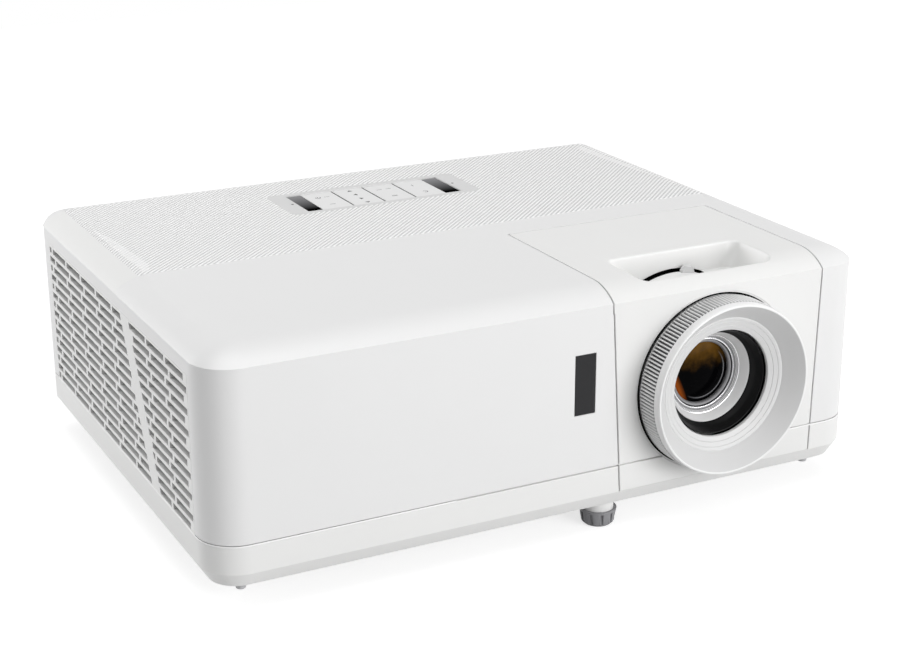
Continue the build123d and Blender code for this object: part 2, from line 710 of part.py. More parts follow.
window_right = WINDOW_LEFT + WINDOW_WIDTH
window_top_z = window_foot_z + WINDOW_HEIGHT

with BuildPart() as front_window:
    block(
        (WINDOW_LEFT + PANEL_FIT, FRONT_Y, window_foot_z + PANEL_FIT),
        (window_right - PANEL_FIT, FRONT_Y + WALL, window_top_z - PANEL_FIT),
    )
    block(
        (WINDOW_LEFT - WINDOW_LIP, FRONT_Y + WALL, window_foot_z - WINDOW_LIP),
        (window_right + WINDOW_LIP, FRONT_Y + 2 * WALL, window_top_z + WINDOW_LIP),
    )
write_piece(front_window, "front_window")


# Keypad: a plate let into the top, two dark panes, four keys held under its edges, and the switch board

plate_top_z = TOP_Z - KEYPAD_SINK
plate_foot_z = TOP_Z - WALL
lip_foot_z = plate_foot_z - KEYPAD_PLATE
key_names = ["power_key", "arrow_key", "source_key", "menu_key"]
key_places = [KEYPAD_X + (index - (len(key_names) - 1) / 2) * KEY_PITCH for index in range(len(key_names))]
pane_places = [KEYPAD_X - PANE_REACH, KEYPAD_X + PANE_REACH]
key_foot_z = lip_foot_z - KEY_FLANGE
board_top_z = key_foot_z - KEY_TRAVEL - SEAT_FIT

with BuildPart() as keypad_plate:
    with BuildSketch(Plane.XY.offset(plate_foot_z)):
        with Locations((KEYPAD_X, KEYPAD_Y)):
            RectangleRounded(
                KEYPAD_LENGTH - 2 * PANEL_FIT, KEYPAD_WIDTH - 2 * PANEL_FIT, KEYPAD_CORNER - PANEL_FIT
            )
    extrude(amount=plate_top_z - plate_foot_z)
    with BuildSketch(Plane.XY.offset(lip_foot_z)):
        with Locations((KEYPAD_X, KEYPAD_Y)):
            RectangleRounded(
                KEYPAD_LENGTH + 2 * KEYPAD_LIP, KEYPAD_WIDTH + 2 * KEYPAD_LIP, KEYPAD_CORNER + KEYPAD_LIP
            )
    extrude(amount=KEYPAD_PLATE)
    with BuildSketch(Plane.XY.offset(lip_foot_z)):
        with Locations((KEYPAD_X, KEYPAD_Y)):
            Rectangle(
                (len(key_names) - 1) * KEY_PITCH + KEY_WIDTH + 2 * KEY_GAP, KEY_LENGTH + 2 * KEY_GAP
            )
        for x in pane_places:
            with Locations((x, KEYPAD_Y)):
                Rectangle(PANE_WIDTH + 2 * PANEL_FIT, PANE_LENGTH + 2 * PANEL_FIT)
    extrude(amount=2 * (plate_top_z - lip_foot_z), mode=Mode.SUBTRACT)
write_piece(keypad_plate, "keypad_plate")

with BuildPart() as keypad_panes:
    for x in pane_places:
        block(
            (x - PANE_WIDTH / 2, KEYPAD_Y - PANE_LENGTH / 2, lip_foot_z),
            (x + PANE_WIDTH / 2, KEYPAD_Y + PANE_LENGTH / 2, plate_top_z),
        )
write_piece(keypad_panes, "keypad_panes")


def key_plate(x):
    """One key: a plain plate flush with the keypad, with a flange that catches under its edges."""
    with BuildPart() as key:
        block(
            (x - KEY_WIDTH / 2, KEYPAD_Y - KEY_LENGTH / 2, key_foot_z),
            (x + KEY_WIDTH / 2, KEYPAD_Y + KEY_LENGTH / 2, plate_top_z),
        )
        block(
            (x - KEY_WIDTH / 2, KEYPAD_Y - KEY_LENGTH / 2 - KEY_FLANGE, key_foot_z),
            (x + KEY_WIDTH / 2, KEYPAD_Y + KEY_LENGTH / 2 + KEY_FLANGE, lip_foot_z - SEAT_FIT),
        )
    return key


for key_name, key_x in zip(key_names, key_places):
    write_piece(key_plate(key_x), key_name)

with BuildPart() as keypad_board:
    block(
        (KEYPAD_X - KEYPAD_LENGTH / 2, KEYPAD_Y - KEYPAD_WIDTH / 2, board_top_z - BOARD_THICKNESS),
        (KEYPAD_X + KEYPAD_LENGTH / 2, KEYPAD_Y + KEYPAD_WIDTH / 2, board_top_z),
    )
    for side in (-1, 1):
        round_bar(
            KEYPAD_X + side * (PANE_REACH + PANE_WIDTH),
            KEYPAD_Y,
            board_top_z - BOARD_THICKNESS,
            lip_foot_z,
            KEYPAD_PILLAR,
        )
write_piece(keypad_board, "keypad_board")


# Feet: a stem that slides in its boss and a grey cap with grip notches that turns on it

def foot_stem(x, y):
    """The round stem of one screw foot, standing in its cap."""
    with BuildPart() as stem:
        round_bar(x, y, STEM_SEAT, STEM_SEAT + STEM_LENGTH, STEM_RADIUS)
        chamfer(stem.edges().sort_by(Axis.Z)[-1], STEM_BEVEL)
    return stem


def foot_cap(x, y):
    """The cup under one foot: a tapered shell with a bevelled sole and grip notches round it."""
    plane = Plane(origin=(x, y, 0), x_dir=(1, 0, 0), z_dir=(0, -1, 0))
    with BuildPart() as cap:
        with BuildSketch(plane):
            Polygon(
                (0, 0),
                (CAP_FOOT_RADIUS - CAP_SOLE_EDGE, 0),
                (CAP_FOOT_RADIUS, CAP_SOLE_EDGE),
                (CAP_RADIUS, CAP_HEIGHT),
                (STEM_RADIUS + SEAT_FIT, CAP_HEIGHT),
                (STEM_RADIUS + SEAT_FIT, STEM_SEAT),
                (0, STEM_SEAT),
                align=None,
            )
        revolve(axis=Axis((x, y, 0), (0, 0, 1)))
        with BuildSketch(Plane.XY.offset(CAP_SOLE_EDGE)):
            with Locations((x, y)):
                with PolarLocations(CAP_NOTCH_REACH, CAP_NOTCHES):
                    Rectangle(CAP_NOTCH, CAP_NOTCH)
        extrude(amount=CAP_NOTCH_TOP - CAP_SOLE_EDGE, mode=Mode.SUBTRACT)
    return cap


for foot_name, (foot_x, foot_y) in zip(foot_names, foot_places):
    write_piece(foot_stem(foot_x, foot_y), f"{foot_name}_stem")
    write_piece(foot_cap(foot_x, foot_y), f"{foot_name}_cap")

with BuildPart() as corner_bumpers:
    for side in (-1, 1):
        bumper_x = side * (WIDTH / 2 - BUMPER_SIDE)
        with Locations((bumper_x, behind(BUMPER_FRONT), UNDER_Z - BUMPER_DROP / 2)):
            Cone(BUMPER_TIP, BUMPER_RADIUS, BUMPER_DROP)
write_piece(corner_bumpers, "corner_bumpers")


# Fasteners: case screws up through the bottom case, engine screws, and inserts for a ceiling bracket

with BuildPart() as case_screws:
    for x, y in post_places:
        head_z = UNDER_Z + HEAD_SINK
        round_bar(x, y, head_z - SCREW_HEAD_HEIGHT, head_z, SCREW_HEAD)
        round_bar(x, y, head_z, SEAM_Z + SCREW_BITE - SCREW_SLACK, SCREW_RADIUS)
write_piece(case_screws, "case_screws")

with BuildPart() as engine_screws:
    for x, y in lug_places:
        lug_top = engine_foot + LUG_THICKNESS
        round_bar(x, y, lug_top, lug_top + SCREW_HEAD_HEIGHT, SCREW_HEAD)
        round_bar(x, y, engine_foot - SCREW_BITE, lug_top, SCREW_RADIUS)
write_piece(engine_screws, "engine_screws")

with BuildPart() as bracket_inserts:
    for x, y in insert_places:
        round_bar(x, y, UNDER_Z, UNDER_Z + INSERT_LENGTH, INSERT_RADIUS)
        round_bar(x, y, UNDER_Z, UNDER_Z + INSERT_LENGTH, INSERT_BORE, mode=Mode.SUBTRACT)
write_piece(bracket_inserts, "bracket_inserts")


# Lens: barrel, focus ring, front group, zoom ring with its lever, zoom group and rear glass

ring_bore = BARREL_RADIUS + RUNNING_FIT
cell_radius = BARREL_BORE - RUNNING_FIT
collar_radius = BARREL_RADIUS + COLLAR_HEIGHT
ring_back = BARREL_FRONT + RING_SLEEVE
zoom_back = WELL_BACK - ZOOM_RING_GAP
zoom_front = zoom_back - ZOOM_RING_LENGTH
land_back = zoom_front + ZOOM_LAND
rear_seat = BARREL_BACK - REAR_GLASS_THICKNESS

barrel_tube = turned(
    [
        (BARREL_BORE, BARREL_FRONT),
        (BARREL_RADIUS, BARREL_FRONT),
        (BARREL_RADIUS, ring_back + SEAT_FIT),
        (collar_radius, ring_back + SEAT_FIT),
        (collar_radius, zoom_front - SEAT_FIT),
        (BARREL_RADIUS, zoom_front - SEAT_FIT),
        (BARREL_RADIUS, land_back + SEAT_FIT),
        (collar_radius, land_back + SEAT_FIT),
        (collar_radius, land_back + SEAT_FIT + RING_WALL),
        (BARREL_RADIUS, land_back + SEAT_FIT + RING_WALL),
        (BARREL_RADIUS, BARREL_BACK),
        (FLANGE_RADIUS, BARREL_BACK),
        (FLANGE_RADIUS, ENGINE_FRONT),
        (REAR_GLASS_RADIUS - RING_WALL, ENGINE_FRONT),
        (REAR_GLASS_RADIUS - RING_WALL, BARREL_BACK),
        (REAR_GLASS_RADIUS + SEAT_FIT, BARREL_BACK),
        (REAR_GLASS_RADIUS + SEAT_FIT, rear_seat),
        (BARREL_BORE, rear_seat),
    ]
)

with BuildPart() as lens_barrel:
    add(barrel_tube)
write_piece(lens_barrel, "lens_barrel")

rim_front = -LENS_PROUD
hood_foot = rim_front + CONE_DEPTH
dish_back = hood_foot + DISH_DEPTH
grip_seat = RING_RADIUS - GRIP_WALL
grip_back = -WALL / 2
grip_front = grip_back - GRIP_LENGTH
ring_body = turned(
    [
        (ring_bore, ring_back),
        (RING_RADIUS - RING_WALL, ring_back),
        (RING_RADIUS - RING_WALL, WALL),
        (grip_seat, WALL / 2),
        (grip_seat, grip_front),
        (RING_RADIUS, grip_front),
        (RING_RADIUS, rim_front + RIM_WIDTH),
        (RING_RADIUS - RIM_WIDTH / 4, rim_front + RIM_WIDTH / 4),
        (RING_RADIUS - RIM_WIDTH / 2, rim_front),
        (RING_RADIUS - RIM_WIDTH, rim_front + RIM_WIDTH / 3),
        (CONE_RADIUS, hood_foot),
        (DISH_RADIUS, dish_back),
        (DISH_RADIUS, dish_back + RING_WALL / 2),
        (CONE_RADIUS, dish_back + RING_WALL / 2),
        (ring_bore, BARREL_FRONT - RING_WALL),
    ]
)

with BuildPart() as focus_ring:
    add(ring_body)
write_piece(focus_ring, "focus_ring")

with BuildPart() as focus_grip:
    with BuildSketch(facing(grip_back)):
        with Locations((LENS_X, LENS_Z)):
            Circle(RING_RADIUS + RIB_HEIGHT)
            with PolarLocations(RING_RADIUS + RIB_HEIGHT, RIB_COUNT):
                RegularPolygon(2 * RIB_HEIGHT, 4, major_radius=True, mode=Mode.SUBTRACT)
            Circle(grip_seat + SEAT_FIT, mode=Mode.SUBTRACT)
    extrude(amount=GRIP_LENGTH)
write_piece(focus_grip, "focus_grip")

front_back = CELL_FRONT + CELL_LENGTH
glass_front = CELL_FRONT + CELL_STEP
glass_back = glass_front + GLASS_THICKNESS
front_tube = turned(
    [
        (SNOUT_RADIUS, SNOUT_FRONT),
        (SNOUT_RADIUS, CELL_FRONT),
        (cell_radius, CELL_FRONT),
        (cell_radius, front_back),
        (APERTURE_RADIUS, front_back),
        (APERTURE_RADIUS, glass_back),
        (GLASS_RADIUS + SEAT_FIT, glass_back),
        (GLASS_RADIUS + SEAT_FIT, glass_front + GLASS_CROWN - CELL_STEP),
        (APERTURE_RADIUS, glass_front + GLASS_CROWN - 2 * CELL_STEP),
        (APERTURE_RADIUS, CELL_FRONT - CELL_STEP),
        (APERTURE_RADIUS + RING_WALL, CELL_FRONT - CELL_STEP),
        (SNOUT_RADIUS - SNOUT_TAPER, CELL_STEP),
        (SNOUT_RADIUS - CELL_STEP, SNOUT_FRONT + CELL_STEP),
        (SNOUT_RADIUS - CELL_STEP / 2, SNOUT_FRONT),
    ]
)
front_disc = lens_disc(GLASS_RADIUS, glass_front, GLASS_THICKNESS, GLASS_CROWN)

with BuildPart() as front_cell:
    add(front_tube)
write_piece(front_cell, "front_cell")

with BuildPart() as front_glass:
    add(front_disc)
write_piece(front_glass, "front_glass")

skirt_bore = ZOOM_RING_RADIUS - RING_WALL
zoom_tube = turned(
    [
        (ring_bore, zoom_front),
        (ZOOM_RING_RADIUS, zoom_front),
        (ZOOM_RING_RADIUS, zoom_back),
        (skirt_bore, zoom_back),
        (skirt_bore, land_back),
        (ring_bore, land_back),
    ]
)
lever_shoulder = ZOOM_RING_RADIUS + LEVER_SHOULDER
lever_tip = ZOOM_RING_RADIUS + LEVER_RISE
lever_plane = Plane(
    origin=(LENS_X, behind(zoom_back), LENS_Z),
    x_dir=(math.cos(math.radians(ZOOM_ANGLE)), 0, -math.sin(math.radians(ZOOM_ANGLE))),
    z_dir=(0, -1, 0),
)

with BuildPart() as zoom_ring:
    add(zoom_tube)
    with BuildSketch(lever_plane):
        with Locations((0, ZOOM_RING_RADIUS)):
            Rectangle(LEVER_WIDTH + 2 * SEAT_FIT, 3 * RING_WALL)
    extrude(amount=LEVER_THICKNESS, mode=Mode.SUBTRACT)
write_piece(zoom_ring, "zoom_ring")

with BuildPart() as zoom_lever:
    with BuildSketch(lever_plane):
        Polygon(
            (-LEVER_WIDTH / 2, skirt_bore),
            (LEVER_WIDTH / 2, skirt_bore),
            (LEVER_WIDTH / 2, lever_shoulder),
            (LEVER_TIP_WIDTH / 2, lever_tip),
            (-LEVER_TIP_WIDTH / 2, lever_tip),
            (-LEVER_WIDTH / 2, lever_shoulder),
            align=None,
        )
    extrude(amount=LEVER_THICKNESS)
write_piece(zoom_lever, "zoom_lever")

zoom_glass_front = ZOOM_CELL_DEPTH + RING_WALL
zoom_cell_back = ZOOM_CELL_DEPTH + ZOOM_CELL_LENGTH
zoom_carrier = turned(
    [
        (GLASS_RADIUS + SEAT_FIT, ZOOM_CELL_DEPTH),
        (cell_radius, ZOOM_CELL_DEPTH),
        (cell_radius, zoom_cell_back),
        (APERTURE_RADIUS, zoom_cell_back),
        (APERTURE_RADIUS, zoom_glass_front + GLASS_THICKNESS),
        (GLASS_RADIUS + SEAT_FIT, zoom_glass_front + GLASS_THICKNESS),
    ]
)
zoom_disc = lens_disc(GLASS_RADIUS, zoom_glass_front, GLASS_THICKNESS, GLASS_CROWN)
rear_disc = lens_disc(REAR_GLASS_RADIUS, rear_seat, REAR_GLASS_THICKNESS, GLASS_CROWN)

with BuildPart() as zoom_cell:
    add(zoom_carrier)
write_piece(zoom_cell, "zoom_cell")

with BuildPart() as zoom_glass:
    add(zoom_disc)
write_piece(zoom_glass, "zoom_glass")

with BuildPart() as rear_glass:
    add(rear_disc)
write_piece(rear_glass, "rear_glass")


# Light engine: the housing behind the lens, the light path to its left, and the imager behind it

light_y = behind(LIGHT_DEPTH)
wheel_y = light_y + WHEEL_OFFSET
engine_top = LENS_Z + ENGINE_HEIGHT / 2

with BuildPart() as engine_housing:
    block(
        (engine_left, behind(ENGINE_FRONT), engine_foot),
        (engine_right, behind(engine_back), engine_top),
    )
    fillet(engine_housing.edges().filter_by(Axis.Y), ENGINE_EDGE)
    for depth in (ENGINE_LENGTH / 3, 2 * ENGINE_LENGTH / 3):
        rib_y = behind(ENGINE_FRONT + depth)
        block(
            (engine_left + ENGINE_EDGE, rib_y - ENGINE_RIB / 2, engine_top - ENGINE_RIB),
            (engine_right - ENGINE_EDGE, rib_y + ENGINE_RIB / 2, engine_top + ENGINE_RIB),
        )
    for x, y in lug_places:
        side = 1 if x > LENS_X else -1
        round_bar(x, y, engine_foot, engine_foot + LUG_THICKNESS, LUG_RADIUS)
        inner = LENS_X + side * (ENGINE_WIDTH / 2 - ENGINE_EDGE)
        block(
            (min(x, inner), y - LUG_RADIUS, engine_foot),
            (max(x, inner), y + LUG_RADIUS, engine_foot + LUG_THICKNESS),
        )
    for x, y in lug_places:
        round_bar(x, y, 0, engine_foot + LUG_THICKNESS, SCREW_RADIUS + SCREW_SLACK, mode=Mode.SUBTRACT)
write_piece(engine_housing, "engine_housing")

relay_left = engine_left - RELAY_LENGTH
tunnel_left = relay_left - TUNNEL_LENGTH

with BuildPart() as relay_housing:
    with BuildSketch(Plane.YZ.offset(relay_left)):
        with Locations((light_y, LENS_Z)):
            RectangleRounded(RELAY_SIDE, RELAY_SIDE, ENGINE_EDGE)
    extrude(amount=RELAY_LENGTH)
write_piece(relay_housing, "relay_housing")

with BuildPart() as light_tunnel:
    with BuildSketch(Plane.YZ.offset(tunnel_left)):
        with Locations((light_y, LENS_Z)):
            Rectangle(TUNNEL_SIDE, TUNNEL_SIDE)
            Rectangle(TUNNEL_BORE, TUNNEL_BORE, mode=Mode.SUBTRACT)
    extrude(amount=TUNNEL_LENGTH)
write_piece(light_tunnel, "light_tunnel")

wheel_right = tunnel_left - WHEEL_GAP
wheel_left = wheel_right - WHEEL_THICKNESS
motor_right = wheel_left - SEAT_FIT
motor_left = motor_right - MOTOR_LENGTH

with BuildPart() as phosphor_wheel:
    with BuildSketch(Plane.YZ.offset(wheel_left)):
        with Locations((wheel_y, LENS_Z)):
            Circle(WHEEL_RADIUS)
    extrude(amount=WHEEL_THICKNESS)
    with BuildSketch(Plane.YZ.offset(wheel_right)):
        with Locations((wheel_y, LENS_Z)):
            Circle(WHEEL_HUB)
    extrude(amount=WHEEL_THICKNESS)
    with BuildSketch(Plane.YZ.offset(wheel_left)):
        with Locations((wheel_y, LENS_Z)):
            Circle(SHAFT_RADIUS)
    extrude(amount=-MOTOR_LENGTH / 2)
write_piece(phosphor_wheel, "phosphor_wheel")

with BuildPart() as wheel_motor:
    with BuildSketch(Plane.YZ.offset(motor_left)):
        with Locations((wheel_y, LENS_Z)):
            Circle(MOTOR_RADIUS)
    extrude(amount=MOTOR_LENGTH)
    with BuildSketch(Plane.YZ.offset(motor_right)):
        with Locations((wheel_y, LENS_Z)):
            Circle(SHAFT_RADIUS + RUNNING_FIT)
    extrude(amount=-MOTOR_LENGTH / 2 - SEAT_FIT, mode=Mode.SUBTRACT)
write_piece(wheel_motor, "wheel_motor")

with BuildPart() as wheel_bracket:
    block(
        (motor_left - BRACKET_THICKNESS, wheel_y - BRACKET_WIDTH / 2, FLOOR_Z),
        (motor_left, wheel_y + BRACKET_WIDTH / 2, LENS_Z + BRACKET_TOP),
    )
    block(
        (motor_left - BRACKET_WIDTH / 2, wheel_y - BRACKET_WIDTH / 2, FLOOR_Z),
        (motor_left, wheel_y + BRACKET_WIDTH / 2, FLOOR_Z + BRACKET_THICKNESS),
    )
write_piece(wheel_bracket, "wheel_bracket")

laser_right = -LASER_OFFSET
laser_left = laser_right - LASER_LENGTH
fins_right = laser_left - SINK_BASE
fin_length = fins_right - (FAN_THICKNESS / 2 - fan_reach + SINK_FAN_GAP)

with BuildPart() as laser_bank:
    block(
        (laser_left, light_y - LASER_SIDE / 2, LENS_Z - LASER_SIDE / 2),
        (laser_right, light_y + LASER_SIDE / 2, LENS_Z + LASER_SIDE / 2),
    )
    with BuildSketch(Plane.YZ.offset(laser_right)):
        with Locations((light_y, LENS_Z)):
            with GridLocations(DIODE_PITCH, DIODE_PITCH, DIODE_ROWS, DIODE_ROWS):
                Circle(DIODE_RADIUS)
    extrude(amount=DIODE_LENGTH)
write_piece(laser_bank, "laser_bank")

with BuildPart() as laser_heatsink:
    with BuildSketch(Plane.XZ.offset(-(light_y - LASER_SIDE / 2))):
        with Locations((laser_left - SINK_BASE / 2, (FLOOR_Z + LENS_Z + LASER_SIDE / 2) / 2)):
            Rectangle(SINK_BASE, LENS_Z + LASER_SIDE / 2 - FLOOR_Z)
        fin_z = LENS_Z + LASER_SIDE / 2 - SINK_FIN / 2 - (SINK_FINS - 1) * SINK_PITCH / 2
        with Locations((fins_right - fin_length / 2, fin_z)):
            with GridLocations(1, SINK_PITCH, 1, SINK_FINS):
                Rectangle(fin_length, SINK_FIN)
    extrude(amount=-SINK_DEPTH)
write_piece(laser_heatsink, "laser_heatsink")

imager_back = engine_back + BOARD_THICKNESS

with BuildPart() as imager_board:
    block(
        (engine_left + IMAGER_BOARD_MARGIN, behind(engine_back), engine_foot - IMAGER_BOARD_MARGIN),
        (engine_right - IMAGER_BOARD_MARGIN, behind(imager_back), engine_top - IMAGER_BOARD_MARGIN),
    )
write_piece(imager_board, "imager_board")

with BuildPart() as imager_heatsink:
    with BuildSketch(Plane.XY.offset(LENS_Z - IMAGER_SINK_HEIGHT / 2)):
        with Locations((LENS_X, behind(imager_back + IMAGER_SINK_BASE / 2))):
            Rectangle(IMAGER_SINK_WIDTH, IMAGER_SINK_BASE)
        with Locations((LENS_X, behind(imager_back + IMAGER_SINK_BASE + IMAGER_SINK_LENGTH / 2))):
            with GridLocations((IMAGER_SINK_WIDTH - SINK_FIN) / (IMAGER_FINS - 1), 1, IMAGER_FINS, 1):
                Rectangle(SINK_FIN, IMAGER_SINK_LENGTH)
    extrude(amount=IMAGER_SINK_HEIGHT)
write_piece(imager_heatsink, "imager_heatsink")


# Fans: a square frame with a spider that carries the bearing, and a rotor with cambered blades

def fan_frame(x, y):
    """A square fan frame about the X direction, with its spider on the side of the nearer wall."""
    out = 1 if x > 0 else -1
    middle = Plane(origin=(x, y, LENS_Z), x_dir=(0, 1, 0), z_dir=(1, 0, 0))
    spider = middle.offset(out * (FAN_THICKNESS / 2 - FAN_SPIDER))
    with BuildPart() as frame:
        with BuildSketch(middle):
            RectangleRounded(FAN_SIZE, FAN_SIZE, FAN_CORNER)
            Circle(FAN_BORE, mode=Mode.SUBTRACT)
        extrude(amount=FAN_THICKNESS / 2, both=True)
        with BuildSketch(spider):
            Circle(FAN_HUB)
            Rectangle(2 * FAN_BORE + FAN_HUB_WALL, FAN_ARM)
            Rectangle(FAN_ARM, 2 * FAN_BORE + FAN_HUB_WALL)
        extrude(amount=out * FAN_SPIDER)
        with BuildSketch(spider):
            Circle(BEARING_RADIUS)
        extrude(amount=-out * FAN_THICKNESS / 2)
        with BuildSketch(spider):
            Circle(SHAFT_RADIUS + RUNNING_FIT)
        extrude(amount=-out * FAN_THICKNESS / 2, mode=Mode.SUBTRACT)
    return frame


def fan_rotor(x, y):
    """A fan rotor: a cup on a shaft, with cambered blades round it."""
    out = 1 if x > 0 else -1
    middle = Plane(origin=(x, y, LENS_Z), x_dir=(0, 1, 0), z_dir=(1, 0, 0))
    open_end = middle.offset(out * (FAN_THICKNESS / 2 - FAN_SPIDER - SEAT_FIT))
    with BuildPart() as rotor:
        with BuildSketch(open_end):
            Circle(FAN_HUB)
        extrude(amount=-out * FAN_ROTOR_LENGTH)
        with BuildSketch(open_end):
            Circle(FAN_HUB - FAN_HUB_WALL)
        extrude(amount=-out * (FAN_ROTOR_LENGTH - FAN_HUB_WALL), mode=Mode.SUBTRACT)
        with BuildSketch(open_end):
            Circle(SHAFT_RADIUS)
        extrude(amount=-out * FAN_ROTOR_LENGTH)
        blade_middle = out * (FAN_THICKNESS / 2 - FAN_SPIDER - FAN_ROTOR_LENGTH / 2)
        for index in range(FAN_BLADES):
            angle = 2 * math.pi * index / FAN_BLADES
            radial = Vector(0, math.cos(angle), math.sin(angle))
            root = Vector(x + blade_middle, y, LENS_Z) + radial * (FAN_HUB - FAN_HUB_WALL)
            lead = (-FAN_BLADE_CHORD / 2, -FAN_BLADE_SWEEP)
            trail = (FAN_BLADE_CHORD / 2, FAN_BLADE_SWEEP)
            with BuildSketch(Plane(origin=root, x_dir=(1, 0, 0), z_dir=radial)):
                with BuildLine():
                    ThreePointArc(lead, (0, FAN_BLADE_CAMBER), trail)
                    ThreePointArc(lead, (0, FAN_BLADE_CAMBER - FAN_BLADE_THICKNESS), trail)
                make_face()
            extrude(amount=FAN_BLADE_TIP - FAN_HUB + FAN_HUB_WALL)
    return rotor


for fan_name, (fan_x, fan_y) in zip(fan_names, fan_places):
    write_piece(fan_frame(fan_x, fan_y), f"{fan_name}_frame")
    write_piece(fan_rotor(fan_x, fan_y), f"{fan_name}_rotor")


# Boards: the upright main board in its rails, and the power board on its own pair of rails

with BuildPart() as main_board:
    block(
        (REAR_PANEL_LEFT, MAIN_Y, main_foot_z),
        (REAR_PANEL_LEFT + REAR_PANEL_WIDTH, MAIN_Y + BOARD_THICKNESS, main_foot_z + MAIN_HEIGHT),
    )
write_piece(main_board, "main_board")

power_top_z = power_foot_z + BOARD_THICKNESS

with BuildPart() as power_board:
    block(
        (POWER_LEFT, POWER_Y, power_foot_z),
        (POWER_LEFT + POWER_WIDTH, POWER_Y + POWER_LENGTH, power_top_z),
    )
write_piece(power_board, "power_board")

with BuildPart() as power_components:
    power_middle = POWER_Y + POWER_LENGTH / 2
    with BuildSketch(Plane.XY.offset(power_top_z)):
        with Locations((POWER_LEFT + TRANSFORMER_X, power_middle)):
            RectangleRounded(TRANSFORMER_SIDE, TRANSFORMER_SIDE, TRANSFORMER_CORNER)
    extrude(amount=TRANSFORMER_HEIGHT)
    with BuildSketch(Plane.XY.offset(power_top_z)):
        with Locations((POWER_LEFT + CAPACITOR_X, power_middle)):
            with GridLocations(1, CAPACITOR_PITCH, 1, 2):
                Circle(CAPACITOR_RADIUS)
    extrude(amount=CAPACITOR_HEIGHT)
    with BuildSketch(Plane.XY.offset(power_top_z)):
        with Locations((POWER_LEFT + CHOKE_X, power_middle)):
            Circle(CHOKE_RADIUS)
            Circle(CHOKE_BORE, mode=Mode.SUBTRACT)
    extrude(amount=CHOKE_HEIGHT)
write_piece(power_components, "power_components")


# Rear panel and the sockets that reach through it from the main board

socket_z = SEAM_Z + SOCKET_ROW
socket_back = MAIN_Y + BOARD_THICKNESS
panel_back = BACK_Y - REAR_RECESS
panel_front = panel_back - REAR_PANEL_THICKNESS
panel_right = REAR_PANEL_LEFT + REAR_PANEL_WIDTH
panel_top_z = SEAM_Z + REAR_PANEL_HEIGHT
socket_face = panel_back + SOCKET_PROUD
inlet = (REAR_PANEL_LEFT + INLET_X, *INLET_SIZE)
network = (REAR_PANEL_LEFT + NETWORK_X, *NETWORK_SIZE)
video_ports = [(REAR_PANEL_LEFT + x, *VIDEO_SIZE) for x in VIDEO_X]
media_ports = [(REAR_PANEL_LEFT + x, *MEDIA_SIZE) for x in MEDIA_X]
data_port = (REAR_PANEL_LEFT + DATA_X, *DATA_SIZE)
audio_ports = [(REAR_PANEL_LEFT + x, *AUDIO_SIZE) for x in AUDIO_X]
all_ports = [inlet, network, *video_ports, *media_ports, data_port, *audio_ports]

with BuildPart() as rear_panel:
    block(
        (REAR_PANEL_LEFT + PANEL_FIT, panel_front, SEAM_Z),
        (panel_right - PANEL_FIT, BACK_Y, panel_top_z - PANEL_FIT),
    )
    block(
        (REAR_PANEL_LEFT + REAR_RIM, panel_back, SEAM_Z + REAR_RIM),
        (panel_right - REAR_RIM, BACK_Y + WALL, panel_top_z - REAR_RIM),
        mode=Mode.SUBTRACT,
    )
    for x, width, height in all_ports:
        block(
            (x - width / 2 - PANEL_FIT, panel_front - WALL, socket_z - height / 2 - PANEL_FIT),
            (x + width / 2 + PANEL_FIT, panel_back + WALL, socket_z + height / 2 + PANEL_FIT),
            mode=Mode.SUBTRACT,
        )
write_piece(rear_panel, "rear_panel")


def sockets(ports):
    """Rectangular sockets from the main board out through the rear panel, hollowed from the back."""
    with BuildPart() as group:
        for x, width, height in ports:
            block(
                (x - width / 2, socket_back, socket_z - height / 2),
                (x + width / 2, socket_face, socket_z + height / 2),
            )
            reach = width / 2 - SOCKET_WALL
            rise = height / 2 - SOCKET_WALL
            block(
                (x - reach, socket_face - SOCKET_HOLLOW, socket_z - rise),
                (x + reach, socket_face + WALL, socket_z + rise),
                mode=Mode.SUBTRACT,
            )
    return group


inlet_box = sockets([inlet])
with BuildPart() as mains_inlet:
    add(inlet_box.part)
    with BuildSketch(Plane.XZ.offset(-(socket_face - SOCKET_HOLLOW - SOCKET_WALL))):
        for across in (-1, 0, 1):
            pin_z = socket_z + INLET_PIN_STEP * (1 - 2 * abs(across))
            with Locations((inlet[0] + across * INLET_PIN_PITCH, pin_z)):
                Rectangle(*INLET_PIN)
    extrude(amount=-SOCKET_HOLLOW)
write_piece(mains_inlet, "mains_inlet")
write_piece(sockets([network]), "network_socket")
write_piece(sockets(media_ports), "media_sockets")
write_piece(sockets([data_port]), "data_socket")

with BuildPart() as video_sockets:
    for x, width, height in video_ports:
        block(
            (x - width / 2, socket_back, socket_z - height / 2),
            (x + width / 2, socket_face, socket_z + height / 2),
        )
        with BuildSketch(Plane.XZ.offset(-socket_face)):
            with Locations((x, socket_z)):
                Trapezoid(SHELL_WIDTH, SHELL_HEIGHT, SHELL_ANGLE)
        extrude(amount=-SHELL_LENGTH)
write_piece(video_sockets, "video_sockets")

with BuildPart() as audio_sockets:
    for x, width, height in audio_ports:
        block(
            (x - width / 2, socket_back, socket_z - height / 2),
            (x + width / 2, socket_face, socket_z + height / 2),
        )
        with BuildSketch(Plane.XZ.offset(-socket_face)):
            with Locations((x, socket_z)):
                Circle(JACK_RADIUS)
        extrude(amount=SOCKET_HOLLOW, mode=Mode.SUBTRACT)
write_piece(audio_sockets, "audio_sockets")


# Speaker: a closed box on the floor with a dished cone in its left face

speaker_left = SPEAKER_SIDE - WIDTH / 2 - SPEAKER_WIDTH / 2
speaker_y = behind(SPEAKER_FRONT)
dish_middle = (speaker_left + SPEAKER_DISH / 2, speaker_y, FLOOR_Z + SPEAKER_HEIGHT / 2)

